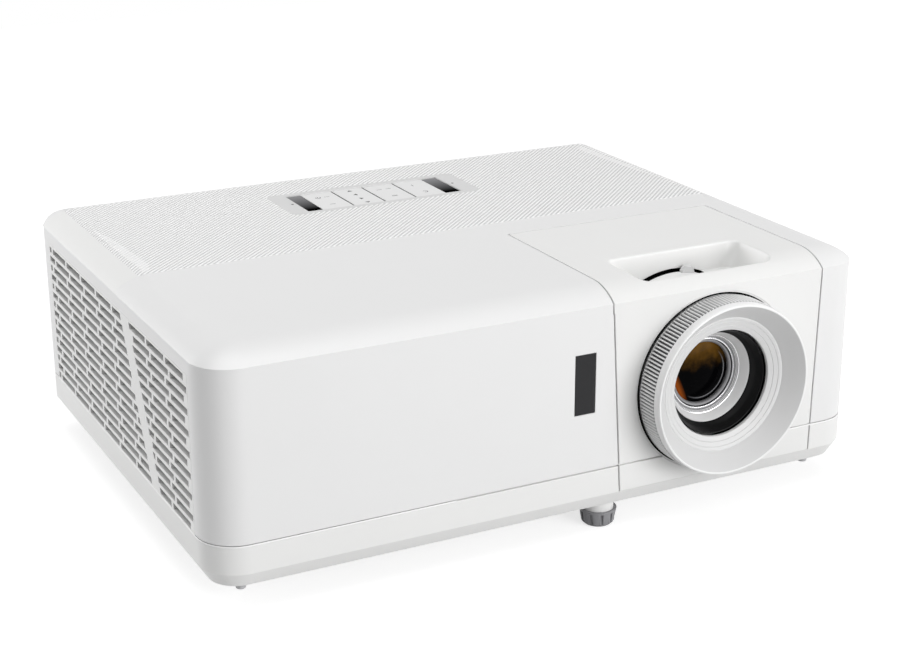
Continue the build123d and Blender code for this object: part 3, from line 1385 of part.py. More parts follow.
with BuildPart() as speaker:
    block(
        (speaker_left, speaker_y - SPEAKER_DEPTH / 2, FLOOR_Z),
        (speaker_left + SPEAKER_WIDTH, speaker_y + SPEAKER_DEPTH / 2, FLOOR_Z + SPEAKER_HEIGHT),
    )
    with Locations(Plane(origin=dish_middle, z_dir=(-1, 0, 0))):
        Cone(SPEAKER_THROAT, SPEAKER_CONE, SPEAKER_DISH, mode=Mode.SUBTRACT)
write_piece(speaker, "speaker")
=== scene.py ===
"""A compact home projector: finishes, fine mouldings and a plain studio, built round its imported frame."""

import json
import logging
import math
from dataclasses import dataclass, field
from enum import Enum
from typing import Any, Sequence

import bmesh
import bpy
import numpy as np
from mathutils import Matrix, Vector


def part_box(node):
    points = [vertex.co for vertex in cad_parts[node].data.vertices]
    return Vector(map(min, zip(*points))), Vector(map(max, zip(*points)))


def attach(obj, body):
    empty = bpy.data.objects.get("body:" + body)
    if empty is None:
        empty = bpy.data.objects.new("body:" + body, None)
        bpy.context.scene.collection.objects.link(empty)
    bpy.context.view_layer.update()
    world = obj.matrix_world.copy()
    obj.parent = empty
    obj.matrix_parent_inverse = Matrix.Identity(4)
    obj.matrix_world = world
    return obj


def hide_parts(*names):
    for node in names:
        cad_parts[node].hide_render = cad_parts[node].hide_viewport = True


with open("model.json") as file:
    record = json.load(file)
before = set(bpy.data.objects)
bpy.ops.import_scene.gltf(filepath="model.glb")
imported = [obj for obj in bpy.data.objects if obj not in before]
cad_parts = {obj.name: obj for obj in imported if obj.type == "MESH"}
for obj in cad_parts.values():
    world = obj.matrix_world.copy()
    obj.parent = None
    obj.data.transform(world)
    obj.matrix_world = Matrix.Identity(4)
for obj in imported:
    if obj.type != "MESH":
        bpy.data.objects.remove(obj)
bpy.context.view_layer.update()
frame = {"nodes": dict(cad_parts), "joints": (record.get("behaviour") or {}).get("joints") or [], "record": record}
LOG = logging.getLogger("projector")
MM = 0.001
FULL_TURN = 2 * math.pi
WHITE = "#FFFFFF"
# Edges that bend more than this are drawn crisp on the softened copies.
CREASE_DEG = 27.0
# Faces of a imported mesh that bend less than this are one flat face.
FLAT_DEG = 0.4
# Points that lie closer than this are one, in metres: on a new piece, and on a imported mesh.
MERGE_M = 1e-7
WELD_M = 2e-6
# A rounding takes at most this share of each edge beside its corner.
EDGE_SHARE = 0.45
# Octaves of noise in a drift of colour and in a grain.
DRIFT_DETAIL = 3.0
GRAIN_DETAIL = 2.0

Profile = Sequence[tuple[float, float]]
Grid = tuple[np.ndarray, np.ndarray]


def linear(code: str) -> tuple[float, float, float, float]:
    """Turns an sRGB hex colour into the linear colour that shaders take.

    Args:
        code: six hex digits, with or without a leading hash.

    Returns:
        Linear red, green, blue and an alpha of one.
    """
    digits = code.lstrip("#")
    values = np.array([int(digits[i : i + 2], 16) for i in (0, 2, 4)]) / 255
    # The sRGB curve: straight near black, a power above.
    knee, slope, offset, power = 0.04045, 12.92, 0.055, 2.4
    steep = ((values + offset) / (1 + offset)) ** power
    red, green, blue = np.where(values <= knee, values / slope, steep)
    return (float(red), float(green), float(blue), 1.0)


def add_node(tree: bpy.types.NodeTree, kind: str, inputs: dict[Any, Any] | None = None, **settings: Any):
    """Adds one shader node, sets it up and links it.

    Args:
        tree: the node tree that gets the node.
        kind: the node's type name.
        inputs: values or source sockets by input name or number.
        settings: properties of the node itself.

    Returns:
        The new node.
    """
    node = tree.nodes.new(kind)
    for key, value in settings.items():
        setattr(node, key, value)
    for key, value in (inputs or {}).items():
        if isinstance(value, bpy.types.NodeSocket):
            tree.links.new(value, node.inputs[key])
        else:
            node.inputs[key].default_value = value
    return node


def per_metre(size_mm: float) -> float:
    """The texture scale, in metres of Object coordinates, at which one cell is size_mm wide."""
    return 1 / (size_mm * MM)


def mix_colours(
    tree: bpy.types.NodeTree, share: bpy.types.NodeSocket, first: Any, second: Any
) -> bpy.types.NodeSocket:
    """Mixes two colours.

    Args:
        tree: the node tree that gets the node.
        share: zero for the first colour, one for the second.
        first: a colour or a socket.
        second: a colour or a socket.

    Returns:
        The socket of the mixed colour.
    """
    # The node's inputs 6 and 7 and its output 2 are the ones for colours.
    mix = add_node(tree, "ShaderNodeMix", {0: share, 6: first, 7: second}, data_type="RGBA")
    return mix.outputs[2]


def bump(
    tree: bpy.types.NodeTree, shader: bpy.types.Node, height: bpy.types.NodeSocket, depth_mm: float
) -> None:
    """Bumps a shader's normal.

    Args:
        tree: the material's nodes.
        shader: the shader.
        height: the relief, from zero to one.
        depth_mm: how deep the relief is.
    """
    node = add_node(tree, "ShaderNodeBump", {"Height": height, "Distance": depth_mm * MM, "Strength": 1.0})
    tree.links.new(node.outputs["Normal"], shader.inputs["Normal"])


def box_mm(node: str) -> list[np.ndarray]:
    """The low and the high corner of a node's box, in millimetres."""
    return [np.array(corner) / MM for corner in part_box(node)]


def grid_quads(rows: int, columns: int, wrap_rows: bool = False, wrap_columns: bool = False) -> np.ndarray:
    """The quads that join a grid of points, row after row.

    Args:
        rows: points along the first parameter.
        columns: points along the second parameter.
        wrap_rows: whether the last row joins the first.
        wrap_columns: whether the last column joins the first.

    Returns:
        An array of four point numbers for each quad.
    """
    index = np.arange(rows * columns).reshape(rows, columns)
    if wrap_rows:
        index = np.vstack([index, index[:1]])
    if wrap_columns:
        index = np.hstack([index, index[:, :1]])
    corners = [index[:-1, :-1], index[1:, :-1], index[1:, 1:], index[:-1, 1:]]
    return np.stack(corners, axis=-1).reshape(-1, 4)


def rounded(corners: Profile, cut: float, steps: int = 4) -> np.ndarray:
    """A closed outline with every corner rounded.

    Each corner C becomes the parabola (1-t)^2 A + 2t(1-t) C + t^2 B, where A and B lie on the two
    edges, cut away from C but never past EDGE_SHARE of an edge.

    Args:
        corners: the outline's corners in order.
        cut: how far from its corner a rounding starts.
        steps: spans of each rounding.

    Returns:
        The outline's points, one row each.
    """
    points = np.array(corners, dtype=float)
    ends = []
    for shift in (1, -1):
        edge = np.roll(points, shift, axis=0) - points
        length = np.linalg.norm(edge, axis=1, keepdims=True)
        ends.append(points + edge * np.minimum(cut / length, EDGE_SHARE))
    t = np.linspace(0, 1, steps + 1)[None, :, None]
    start, corner, end = ends[0][:, None], points[:, None], ends[1][:, None]
    return ((1 - t) ** 2 * start + 2 * t * (1 - t) * corner + t**2 * end).reshape(-1, 2)


def make_piece(
    name: str, points: np.ndarray, quads: np.ndarray, smooth_deg: float = 35.0
) -> bpy.types.Object:
    """Makes a mesh object from points in millimetres: poles merged, faces outwards, shading smooth by angle.

    Args:
        name: the piece's name.
        points: one row of X, Y, Z for each point, in millimetres.
        quads: four point numbers for each face.
        smooth_deg: edges that bend more than this stay crisp.

    Returns:
        The object, at the origin.
    """
    mesh = bpy.data.meshes.new(name)
    mesh.from_pydata((points * MM).tolist(), [], quads.tolist())
    work = bmesh.new()
    work.from_mesh(mesh)
    bmesh.ops.remove_doubles(work, verts=work.verts, dist=MERGE_M)
    bmesh.ops.dissolve_degenerate(work, edges=work.edges, dist=MERGE_M)
    bmesh.ops.recalc_face_normals(work, faces=work.faces)
    work.to_mesh(mesh)
    work.free()
    mesh.shade_smooth()
    mesh.set_sharp_from_angle(angle=math.radians(smooth_deg))
    piece = bpy.data.objects.new(name, mesh)
    bpy.context.scene.collection.objects.link(piece)
    return piece


def thick_sheet(surface: np.ndarray, shift: Sequence[float]) -> Grid:
    """A closed skin under a surface: the surface itself, a moved copy, and walls round the border.

    Args:
        surface: a grid of points, rows by columns by X, Y, Z.
        shift: the way from the surface to its copy.

    Returns:
        Points and quads.
    """
    rows, columns = surface.shape[:2]
    index = np.arange(rows * columns).reshape(rows, columns)
    border = np.concatenate([index[0], index[1:, -1], index[-1, -2::-1], index[-2:0:-1, 0]])
    onward = np.roll(border, -1)
    count = rows * columns
    walls = np.stack([border, onward, onward + count, border + count], axis=1)
    faces = grid_quads(rows, columns)
    points = np.vstack([surface.reshape(-1, 3), surface.reshape(-1, 3) + shift])
    return points, np.vstack([faces, faces[:, ::-1] + count, walls[:, ::-1]])


def join_grids(grids: Sequence[Grid]) -> Grid:
    """Puts several point-and-quad pairs into one.

    Args:
        grids: pairs of points and quads, each numbered from zero.

    Returns:
        All points, and all quads renumbered.
    """
    starts = np.cumsum([0] + [len(points) for points, _ in grids[:-1]])
    points = np.vstack([points for points, _ in grids])
    quads = np.vstack([quads + start for (_, quads), start in zip(grids, starts)])
    return points, quads


def slab(outline: np.ndarray, low: float, high: float, edge: float) -> Grid:
    """A flat plate: an outline carried up from low to high, its rims drawn in by edge, its faces closed.

    The outline is scaled about its middle at the rims, and each face is a fan of quads to that middle.

    Args:
        outline: points of the outline in X and Y.
        low: height of the underside.
        high: height of the top.
        edge: how far each rim is bevelled.

    Returns:
        Points in X, Y, Z, and quads.
    """
    middle = (outline.min(axis=0) + outline.max(axis=0)) / 2
    half = (outline.max(axis=0) - outline.min(axis=0)) / 2
    drawn = middle + (outline - middle) * (1 - edge / half)
    centre = np.broadcast_to(middle, outline.shape)
    plan = np.stack([centre, drawn, outline, outline, drawn, centre])
    heights = np.array([low, low, low + edge, high - edge, high, high])
    levels = np.broadcast_to(heights[:, None, None], (*plan.shape[:2], 1))
    points = np.concatenate([plan, levels], axis=2).reshape(-1, 3)
    return points, grid_quads(len(heights), len(outline), wrap_columns=True)


def band(outer: np.ndarray, inner: np.ndarray, low: float, high: float, rim: float) -> Grid:
    """A flat frame between two outlines of as many points, from low up to high, its rims drawn in a little.

    A point is the outer outline's plus a share of the way to the inner one, so the section is a plate
    with both top edges cut off by rim.

    Args:
        outer: points of the outer outline in X and Y.
        inner: points of the inner outline.
        low: height of the underside.
        high: height of the top.
        rim: how far the edges are cut.

    Returns:
        Points in X, Y, Z, and quads.
    """
    drawn = 0.02
    shares = np.array([0.0, 0.0, drawn, 1 - drawn, 1.0, 1.0])
    heights = np.array([low, high - rim, high, high, high - rim, low])
    plan = outer[None] + (inner - outer)[None] * shares[:, None, None]
    levels = np.broadcast_to(heights[:, None, None], (*plan.shape[:2], 1))
    points = np.concatenate([plan, levels], axis=2).reshape(-1, 3)
    return points, grid_quads(len(heights), len(outer), True, True)


def collar(profile: np.ndarray, steps: int) -> Grid:
    """A ring about its own Z axis.

    A point of the closed profile with radius r and height h is carried round as (r sin a, r cos a, h).

    Args:
        profile: rows of radius and height.
        steps: points round the axis.

    Returns:
        Points in X, Y, Z, and quads.
    """
    angle = np.linspace(0, FULL_TURN, steps, endpoint=False)
    flat = profile[:, :1, None] * np.stack([np.sin(angle), np.cos(angle)], axis=-1)
    heights = np.broadcast_to(profile[:, 1:, None], (len(profile), steps, 1))
    points = np.concatenate([flat, heights], axis=2).reshape(-1, 3)
    return points, grid_quads(len(profile), steps, True, True)


def polygon(sides: int, radius: float) -> np.ndarray:
    """The corners of a regular polygon about zero."""
    angle = np.linspace(0, FULL_TURN, sides, endpoint=False)
    return radius * np.stack([np.cos(angle), np.sin(angle)], axis=1)


def box_outline(left: float, front: float, right: float, back: float, cut: float) -> np.ndarray:
    """A rectangle with rounded corners, as slab takes it."""
    return rounded([(left, front), (right, front), (right, back), (left, back)], cut)


class Face(Enum):
    """The way that a small part on the case looks, as rows that turn its X, Y, Z into the frame's."""

    LEFT = ((0, -1, 0), (0, 0, 1), (-1, 0, 0))
    RIGHT = ((0, 1, 0), (0, 0, 1), (1, 0, 0))
    BACK = ((-1, 0, 0), (0, 0, 1), (0, 1, 0))

    def place(self, points: np.ndarray, origin: Sequence[float]) -> np.ndarray:
        """Turns points of a part that lies flat so that it looks this way from origin.

        Args:
            points: one row of X, Y, Z for each point, the part's top along Z.
            origin: where the part's zero goes, in millimetres.

        Returns:
            The points in the frame.
        """
        return points @ np.array(self.value, dtype=float) + np.array(origin, dtype=float)


@dataclass(frozen=True)
class Finish:
    """A material surface: what it is, how it was made and what that gives the eye."""

    name: str
    colour: str
    roughness: float
    metallic: float = 0.0
    ior: float = 1.5
    grain_mm: float = 0.6
    grain_depth_mm: float = 0.004
    drift_mm: float = 30.0
    drift: float = 0.03
    specular: float = 0.5

    def material(self) -> bpy.types.Material:
        """The finish's material, made on its first use.

        Returns:
            The material of this name.
        """
        known = bpy.data.materials.get(self.name)
        if known is not None:
            return known
        material = bpy.data.materials.new(self.name)
        material.use_nodes = True
        tree = material.node_tree
        tree.nodes.clear()
        constants = {"Base Color": linear(self.colour), "Roughness": self.roughness}
        constants |= {"Metallic": self.metallic, "IOR": self.ior, "Specular IOR Level": self.specular}
        shader = add_node(tree, "ShaderNodeBsdfPrincipled", constants)
        place = add_node(tree, "ShaderNodeTexCoord").outputs["Object"]
        self.paint(tree, place, shader)
        self.roughen(tree, place, shader)
        add_node(tree, "ShaderNodeOutputMaterial", {"Surface": shader.outputs["BSDF"]})
        return material

    def paint(self, tree: bpy.types.NodeTree, place: bpy.types.NodeSocket, shader: bpy.types.Node) -> None:
        """Lets the colour drift a little over the surface, as pigment and handling do.

        Args:
            tree: the material's nodes.
            place: Object coordinates.
            shader: the shader whose colour is painted.
        """
        spread = {"Scale": per_metre(self.drift_mm), "Detail": DRIFT_DETAIL}
        cloud = add_node(tree, "ShaderNodeTexNoise", {"Vector": place, **spread})
        base = np.array(linear(self.colour))
        darker = (*(base[:3] * (1 - self.drift)), 1.0)
        drifting = mix_colours(tree, cloud.outputs["Fac"], tuple(base), darker)
        tree.links.new(drifting, shader.inputs["Base Color"])

    def roughen(self, tree: bpy.types.NodeTree, place: bpy.types.NodeSocket, shader: bpy.types.Node) -> None:
        """Gives the surface its fine grain.

        Args:
            tree: the material's nodes.
            place: Object coordinates.
            shader: the shader whose normal is bumped.
        """
        spread = {"Scale": per_metre(self.grain_mm), "Detail": GRAIN_DETAIL}
        grain = add_node(tree, "ShaderNodeTexNoise", {"Vector": place, **spread})
        bump(tree, shader, grain.outputs["Fac"], self.grain_depth_mm)


@dataclass(frozen=True)
class TurnedFinish(Finish):
    """Metal turned on a lathe: fine rings about the lens axis that draw light out into streaks."""

    centre_mm: tuple[float, float, float] = (0.0, 0.0, 0.0)
    ring_mm: float = 0.35
    waver: float = 0.4

    def roughen(self, tree: bpy.types.NodeTree, place: bpy.types.NodeSocket, shader: bpy.types.Node) -> None:
        """Gives the surface its tool marks: rings about the lens axis, one for each ring_mm.

        Args:
            tree: the material's nodes.
            place: Object coordinates.
            shader: the shader whose normal is bumped.
        """
        shift = tuple(-value * MM for value in self.centre_mm)
        centred = add_node(tree, "ShaderNodeMapping", {"Vector": place, "Location": shift})
        # One period of this wave takes pi/10 of a unit.
        scale = per_metre(self.ring_mm) * math.pi / 10
        rings = add_node(
            tree,
            "ShaderNodeTexWave",
            {"Vector": centred.outputs["Vector"], "Scale": scale, "Distortion": self.waver, "Detail": 1.0},
            wave_type="RINGS",
            rings_direction="Y",
        )
        bump(tree, shader, rings.outputs["Fac"], self.grain_depth_mm)


@dataclass(frozen=True)
class GrooveShadeFinish(Finish):
    """A ribbed moulding with painted shade: its grooves are painted darker than its crests, by the reach from the
    lens axis.
    """

    # Colour of the painted shade at the groove floor.
    groove: str = "#6E6E71"
    centre_mm: tuple[float, float, float] = (0.0, 0.0, 0.0)
    floor_mm: float = 0.0
    crest_mm: float = 1.0

    def paint(self, tree: bpy.types.NodeTree, place: bpy.types.NodeSocket, shader: bpy.types.Node) -> None:
        """Grades the colour from the painted shade at the radius floor_mm to the finish's own at crest_mm.

        Args:
            tree: the material's nodes.
            place: Object coordinates.
            shader: the shader whose colour is painted.
        """
        shift = tuple(-value * MM for value in self.centre_mm)
        flat = {"Vector": place, "Location": (shift[0], 0.0, shift[2]), "Scale": (1.0, 0.0, 1.0)}
        centred = add_node(tree, "ShaderNodeMapping", flat)
        reach = add_node(tree, "ShaderNodeVectorMath", {0: centred.outputs["Vector"]}, operation="LENGTH")
        ends = {"From Min": self.floor_mm * MM, "From Max": self.crest_mm * MM}
        share = add_node(tree, "ShaderNodeMapRange", {"Value": reach.outputs["Value"], **ends})
        graded = mix_colours(tree, share.outputs[0], linear(self.groove), linear(self.colour))
        tree.links.new(graded, shader.inputs["Base Color"])


@dataclass(frozen=True)
class GradedFinish(Finish):
    """A tinted sheet whose colour grades from front to back towards a paler grey: a painted reflection."""

    # Grey of the painted reflection at the back.
    far: str = "#747476"
    from_mm: float = 0.0
    to_mm: float = 1.0

    def paint(self, tree: bpy.types.NodeTree, place: bpy.types.NodeSocket, shader: bpy.types.Node) -> None:
        """Grades the colour along Y from its own at from_mm to far, the painted reflection's grey, at to_mm.

        Args:
            tree: the material's nodes.
            place: Object coordinates.
            shader: the shader whose colour is painted.
        """
        parts = add_node(tree, "ShaderNodeSeparateXYZ", {"Vector": place})
        ends = {"From Min": self.from_mm * MM, "From Max": self.to_mm * MM}
        share = add_node(tree, "ShaderNodeMapRange", {"Value": parts.outputs["Y"], **ends})
        graded = mix_colours(tree, share.outputs[0], linear(self.colour), linear(self.far))
        tree.links.new(graded, shader.inputs["Base Color"])


@dataclass(frozen=True)
class CoatedGlass(Finish):
    """Polished lens glass over a dark barrel, with its amber coat reflections and a glint painted on."""

    centre_mm: tuple[float, float, float] = (0.0, 0.0, 0.0)
    radius_mm: float = 16.9
    painted_glint: str = "#6F6F72"
    # Colour of the amber painted reflection at the top of the glass.
    glow: str = "#6A4A18"
    ember_reflection: str = "#8E4716"
    mottle_scale: float = 3.5
    mottle_share: float = 0.7
    cap_from: float = 0.4
    cap_to: float = 1.45
    ember_slant: float = 0.45
    ember_from: float = -0.82
    ember_to: float = -0.98
    arc_reach: float = 0.86
    arc_half: float = 0.022
    arc_slant: float = -0.8
    arc_from: float = 0.1
    arc_to: float = 0.8

    def paint(self, tree: bpy.types.NodeTree, place: bpy.types.NodeSocket, shader: bpy.types.Node) -> None:
        """Paints the coat's reflections: an amber painted reflection at the top of the glass and an ember-coloured
        painted reflection at its left, dark between.

        The cap grows with the height over the axis, the ember with the reach to the left, both as
        shares of the radius.

        Args:
            tree: the material's nodes.
            place: Object coordinates.
            shader: the shader whose colour is painted.
        """
        shift = tuple(-value / self.radius_mm for value in self.centre_mm)
        unit = per_metre(self.radius_mm)
        spread = {"Location": shift, "Scale": (unit, unit, unit)}
        centred = add_node(tree, "ShaderNodeMapping", {"Vector": place, **spread}).outputs["Vector"]
        parts = add_node(tree, "ShaderNodeSeparateXYZ", {"Vector": centred})
        noise = {"Vector": centred, "Scale": self.mottle_scale, "Detail": DRIFT_DETAIL}
        mottle = add_node(tree, "ShaderNodeTexNoise", noise)
        height = self.slanted(tree, mottle.outputs["Fac"], self.mottle_share, parts.outputs["Z"])
        ends = {"From Min": self.cap_from, "From Max": self.cap_to}
        cap = add_node(tree, "ShaderNodeMapRange", {"Value": height, **ends}, interpolation_type="SMOOTHSTEP")
        aslant = self.slanted(tree, parts.outputs["Z"], self.ember_slant, parts.outputs["X"])
        ends = {"From Min": self.ember_from, "From Max": self.ember_to}
        ember_reflection = add_node(tree, "ShaderNodeMapRange", {"Value": aslant, **ends})
        amber = mix_colours(tree, cap.outputs[0], linear(self.colour), linear(self.glow))
        warm = mix_colours(tree, ember_reflection.outputs[0], amber, linear(self.ember_reflection))
        tree.links.new(self.add_painted_glint(tree, parts, warm), shader.inputs["Base Color"])

    @staticmethod
    def slanted(
        tree: bpy.types.NodeTree, first: bpy.types.NodeSocket, slant: float, second: bpy.types.NodeSocket
    ) -> bpy.types.NodeSocket:
        """Adds slant times the first value to the second.

        Args:
            tree: the material's nodes.
            first: the value that is multiplied.
            slant: its share.
            second: the value that it is added to.

        Returns:
            The socket of the sum.
        """
        terms = {0: first, 1: slant, 2: second}
        return add_node(tree, "ShaderNodeMath", terms, operation="MULTIPLY_ADD").outputs[0]

    def add_painted_glint(
        self, tree: bpy.types.NodeTree, parts: bpy.types.Node, under: bpy.types.NodeSocket
    ) -> bpy.types.NodeSocket:
        """Draws a painted glint: a thin bright arc at the lower right, a painted highlight on the rim of the
        second glass.

        The arc is where the reach from the axis lies close to arc_reach, a share of the radius, and it
        grows with the way to the right and down.

        Args:
            tree: the material's nodes.
            parts: the place on the glass as shares of the radius, by axis.
            under: the colour below the arc.

        Returns:
            The colour with the arc.
        """
        flat = add_node(tree, "ShaderNodeCombineXYZ", {"X": parts.outputs["X"], "Z": parts.outputs["Z"]})
        reach = add_node(tree, "ShaderNodeVectorMath", {0: flat.outputs["Vector"]}, operation="LENGTH")
        ring = {0: reach.outputs["Value"], 1: self.arc_reach, 2: self.arc_half}
        near = add_node(tree, "ShaderNodeMath", ring, operation="COMPARE")
        away = self.slanted(tree, parts.outputs["Z"], self.arc_slant, parts.outputs["X"])
        ends = {"From Min": self.arc_from, "From Max": self.arc_to}
        side = add_node(tree, "ShaderNodeMapRange", {"Value": away, **ends})
        both = {0: near.outputs[0], 1: side.outputs[0]}
        share = add_node(tree, "ShaderNodeMath", both, operation="MULTIPLY")
        return mix_colours(tree, share.outputs[0], under, linear(self.painted_glint))


@dataclass
class Layout:
    """The few sizes of the frame that the new pieces follow, in millimetres."""

    case_low: np.ndarray = field(init=False)
    case_high: np.ndarray = field(init=False)
    lens: np.ndarray = field(init=False)

    def __post_init__(self) -> None:
        """Reads the case's box and the lens axis from the frame."""
        self.case_low, self.case_high = box_mm("top_cover")
        turn = next(joint for joint in frame["joints"] if joint["name"] == "focus_turn")
        self.lens = np.array(turn["pos_m"]) / MM

    @property
    def front(self) -> float:
        """The Y of the front face."""
        return float(self.case_low[1])

    @property
    def top(self) -> float:
        """The Z of the flat top."""
        return float(self.case_high[2])

    def turned(self, profile: np.ndarray, steps: int, swell: np.ndarray | None = None) -> np.ndarray:
        """Carries a profile round the lens axis.

        A point of radius r and depth d at angle a lies at axis + r (sin a, 0, cos a) + d along +Y,
        where swell may add to r point by point.

        Args:
            profile: rows of radius and depth behind the front face.
            steps: points round the axis.
            swell: extra radius for each profile point and angle.

        Returns:
            Points in X, Y, Z, angle by angle within each profile point.
        """
        angle = np.linspace(0, FULL_TURN, steps, endpoint=False)
        radius = profile[:, :1] + (0 if swell is None else swell)
        depth = np.broadcast_to(profile[:, 1:], (len(profile), steps))
        x = self.lens[0] + radius * np.sin(angle)
        z = self.lens[2] + radius * np.cos(angle)
        return np.stack([x, self.front + depth, z], axis=-1).reshape(-1, 3)

    def lathe(self, name: str, profile: np.ndarray, steps: int) -> bpy.types.Object:
        """Makes a piece from a closed profile carried round the lens axis.

        Args:
            name: the piece's name.
            profile: rows of radius and depth behind the front face.
            steps: points round the axis.

        Returns:
            The piece.
        """
        quads = grid_quads(len(profile), steps, True, True)
        return make_piece(name, self.turned(profile, steps), quads)


LAYOUT = Layout()
LENS_CENTRE = tuple(float(value) for value in LAYOUT.lens)

# What finishes of one moulding or one sheet share.
SATIN = {"ior": 1.53, "grain_mm": 1.6, "grain_depth_mm": 0.0015}
FINE = {"ior": 1.53, "grain_mm": 0.5, "grain_depth_mm": 0.003, "drift": 0.02}
RING = {"ior": 1.53, "grain_mm": 1.2, "grain_depth_mm": 0.001}
ACRYLIC = {"ior": 1.49, "grain_mm": 3.0, "grain_depth_mm": 0.0003}
RUBBER = {"grain_mm": 0.7, "grain_depth_mm": 0.01, "drift_mm": 8.0}
# Satin ABS from a polished mould: an even white with a soft gloss and the faintest orange peel.
WHITE_ABS = Finish("moulded_white_abs", "#EEEEED", 0.34, drift=0.015, **SATIN)
# The same ABS on the ribbed top.
WHITE_TOP = Finish("moulded_white_abs_top", "#ECECEC", 0.34, drift=0.015, **SATIN)
# Crests of the ribs on the top: painted a touch whiter than the cover, a painted highlight; the seam lips take it
# too.
RIB_CREST_PAINTED_HIGHLIGHT = Finish("moulded_white_abs_crest_painted_highlight", "#FBFBFB", 0.34, drift=0.01, **SATIN)
# Floors between the ribs: matt, and painted greyer as painted shade.
RIB_VALLEY_PAINTED_SHADE = Finish("moulded_white_abs_valley_painted_shade", "#D6D6D6", 0.5, drift=0.01, **SATIN)
# Pale grey ABS of the keypad: a fine spark-eroded mould gives it a flatter sheen.
KEY_WHITE = Finish("moulded_pale_grey_abs", "#DADADA", 0.42, **FINE)
# The keys' ABS, painted whiter than the bezel: a painted reflection.
KEY_PLATE_PAINTED_REFLECTION = Finish("moulded_key_abs_painted_reflection", "#EBEBEB", 0.4, **FINE)
# White ABS of the lens rings: moulded, satin.
RING_WHITE = Finish("moulded_ring_abs", "#F7F7F7", 0.38, drift=0.015, **RING)
# Smoked acrylic: polished, nearly black, with a clear mirror gloss.
SMOKED = Finish("smoked_acrylic", "#262628", 0.1, drift=0.1, drift_mm=9.0, specular=0.25, **ACRYLIC)
# Smoked acrylic of the keypad's panes: black at the front, graded to a paler grey at the back as a painted
# reflection of the bright surroundings, with the sheet's own gloss turned off.
PANE_DARK_SPAN = 5.0
PANE_FRONT, PANE_BACK = (float(corner[1]) for corner in box_mm("keypad_panes"))
PANE_PAINTED_REFLECTION = GradedFinish(
    "smoked_acrylic_painted_reflection", "#030303", 0.12, specular=0.0, far="#9A9A9C", from_mm=PANE_FRONT + PANE_DARK_SPAN,
    to_mm=PANE_BACK, **ACRYLIC
)
# Anodised aluminium of the lens barrel: dyed black, satin, with fine lathe rings.
LENS_BLACK = TurnedFinish(
    "black_anodised_aluminium", "#0D0D0E", 0.36, grain_depth_mm=0.004, specular=0.16, centre_mm=LENS_CENTRE,
    ring_mm=0.5
)
# Turned aluminium of the front cell under a thin satin silver paint.
LENS_SILVER = TurnedFinish(
    "silver_painted_aluminium", "#F0F0F0", 0.42, metallic=0.1, grain_depth_mm=0.003, centre_mm=LENS_CENTRE,
    ring_mm=0.4
)
# The same aluminium in the grooves: duller, and painted much darker as painted shade.
LENS_GROOVE_SHADE = TurnedFinish(
    "dull_turned_aluminium_painted_shade", "#8E8E90", 0.5, metallic=0.2, grain_depth_mm=0.012, centre_mm=LENS_CENTRE,
    ring_mm=0.6
)
# Polished aluminium of the thin retaining rings.
BRIGHT_RING = TurnedFinish(
    "polished_aluminium", "#E6E6E8", 0.16, metallic=1.0, grain_depth_mm=0.001, centre_mm=LENS_CENTRE,
    ring_mm=0.3
)
# Near-black with a fine pile grain: painted shade, put in the lens hole's gap, between the keys, in the pin holes
# and in the post bores.
SHADE_BLACK = Finish(
    "black_painted_shade", "#0B0B0C", 0.95, grain_mm=0.5, grain_depth_mm=0.05, drift=0.2, drift_mm=3.0, specular=0.1
)
# Foam of the filters: dark grey, open-pored and matt; put behind the grilles, its dark colour is painted shade for
# the insides of the slots.
FOAM_SHADE = Finish(
    "filter_foam_painted_shade", "#39383B", 0.9, grain_mm=0.8, grain_depth_mm=0.2, drift=0.25, drift_mm=2.0, specular=0.1
)
# Coated optical glass: polished and dark inside, with the coat's amber reflections and a glint painted on.
FRONT_GLASS = CoatedGlass(
    "coated_optical_glass_painted_reflections", "#040405", 0.04, ior=1.6, grain_mm=20.0, grain_depth_mm=0.0, specular=0.012,
    centre_mm=LENS_CENTRE
)
# Moulded rubber of the feet: matt grey with a fine grain.
GREY_RUBBER = Finish("moulded_grey_rubber", "#949497", 0.62, drift=0.08, **RUBBER)
# Moulded rubber of the front bumpers: the same, in a pale grey.
PALE_RUBBER = Finish("moulded_pale_rubber", "#C6C6C8", 0.6, drift=0.06, **RUBBER)
# Hood of the focus ring: the ring's ABS in a greyer tone than the ring, a painted shade for the inside of the
# cone.
HOOD_PAINTED_SHADE = Finish("hood_abs_painted_shade", "#DCDCDC", 0.45, grain_mm=0.5, grain_depth_mm=0.002, drift=0.02)
# Grip of the focus ring: white ABS whose grooves are painted dark by the reach from the lens axis, a painted
# shade.
GRIP = GrooveShadeFinish(
    "moulded_grip_abs_painted_groove_shade", "#EFEFEF", 0.4, centre_mm=LENS_CENTRE, floor_mm=45.4, crest_mm=47.0, **RING
)
# Zinc-plated steel of screws and motor cans.
STEEL = Finish(
    "zinc_plated_steel", "#B9BABC", 0.3, metallic=1.0, grain_mm=0.4, grain_depth_mm=0.002, drift=0.08
)
# Turned brass inserts.
BRASS = Finish("turned_brass", "#C8A35A", 0.28, metallic=1.0, grain_mm=0.3, grain_depth_mm=0.002, drift=0.06)
# Die-cast magnesium of the light engine: grey, sandy.
DIE_CAST = Finish(
    "die_cast_magnesium", "#8A8B8D", 0.55, metallic=0.7, grain_mm=0.8, grain_depth_mm=0.02, drift=0.08
)
# Extruded aluminium of the heat sinks.
EXTRUDED = Finish(
    "extruded_aluminium", "#C9CACC", 0.35, metallic=1.0, grain_mm=0.5, grain_depth_mm=0.004, drift=0.05
)
# Glass-filled black PBT of the fans.
FAN_BLACK = Finish("black_pbt", "#17181A", 0.5, grain_mm=0.6, grain_depth_mm=0.008, drift=0.1)
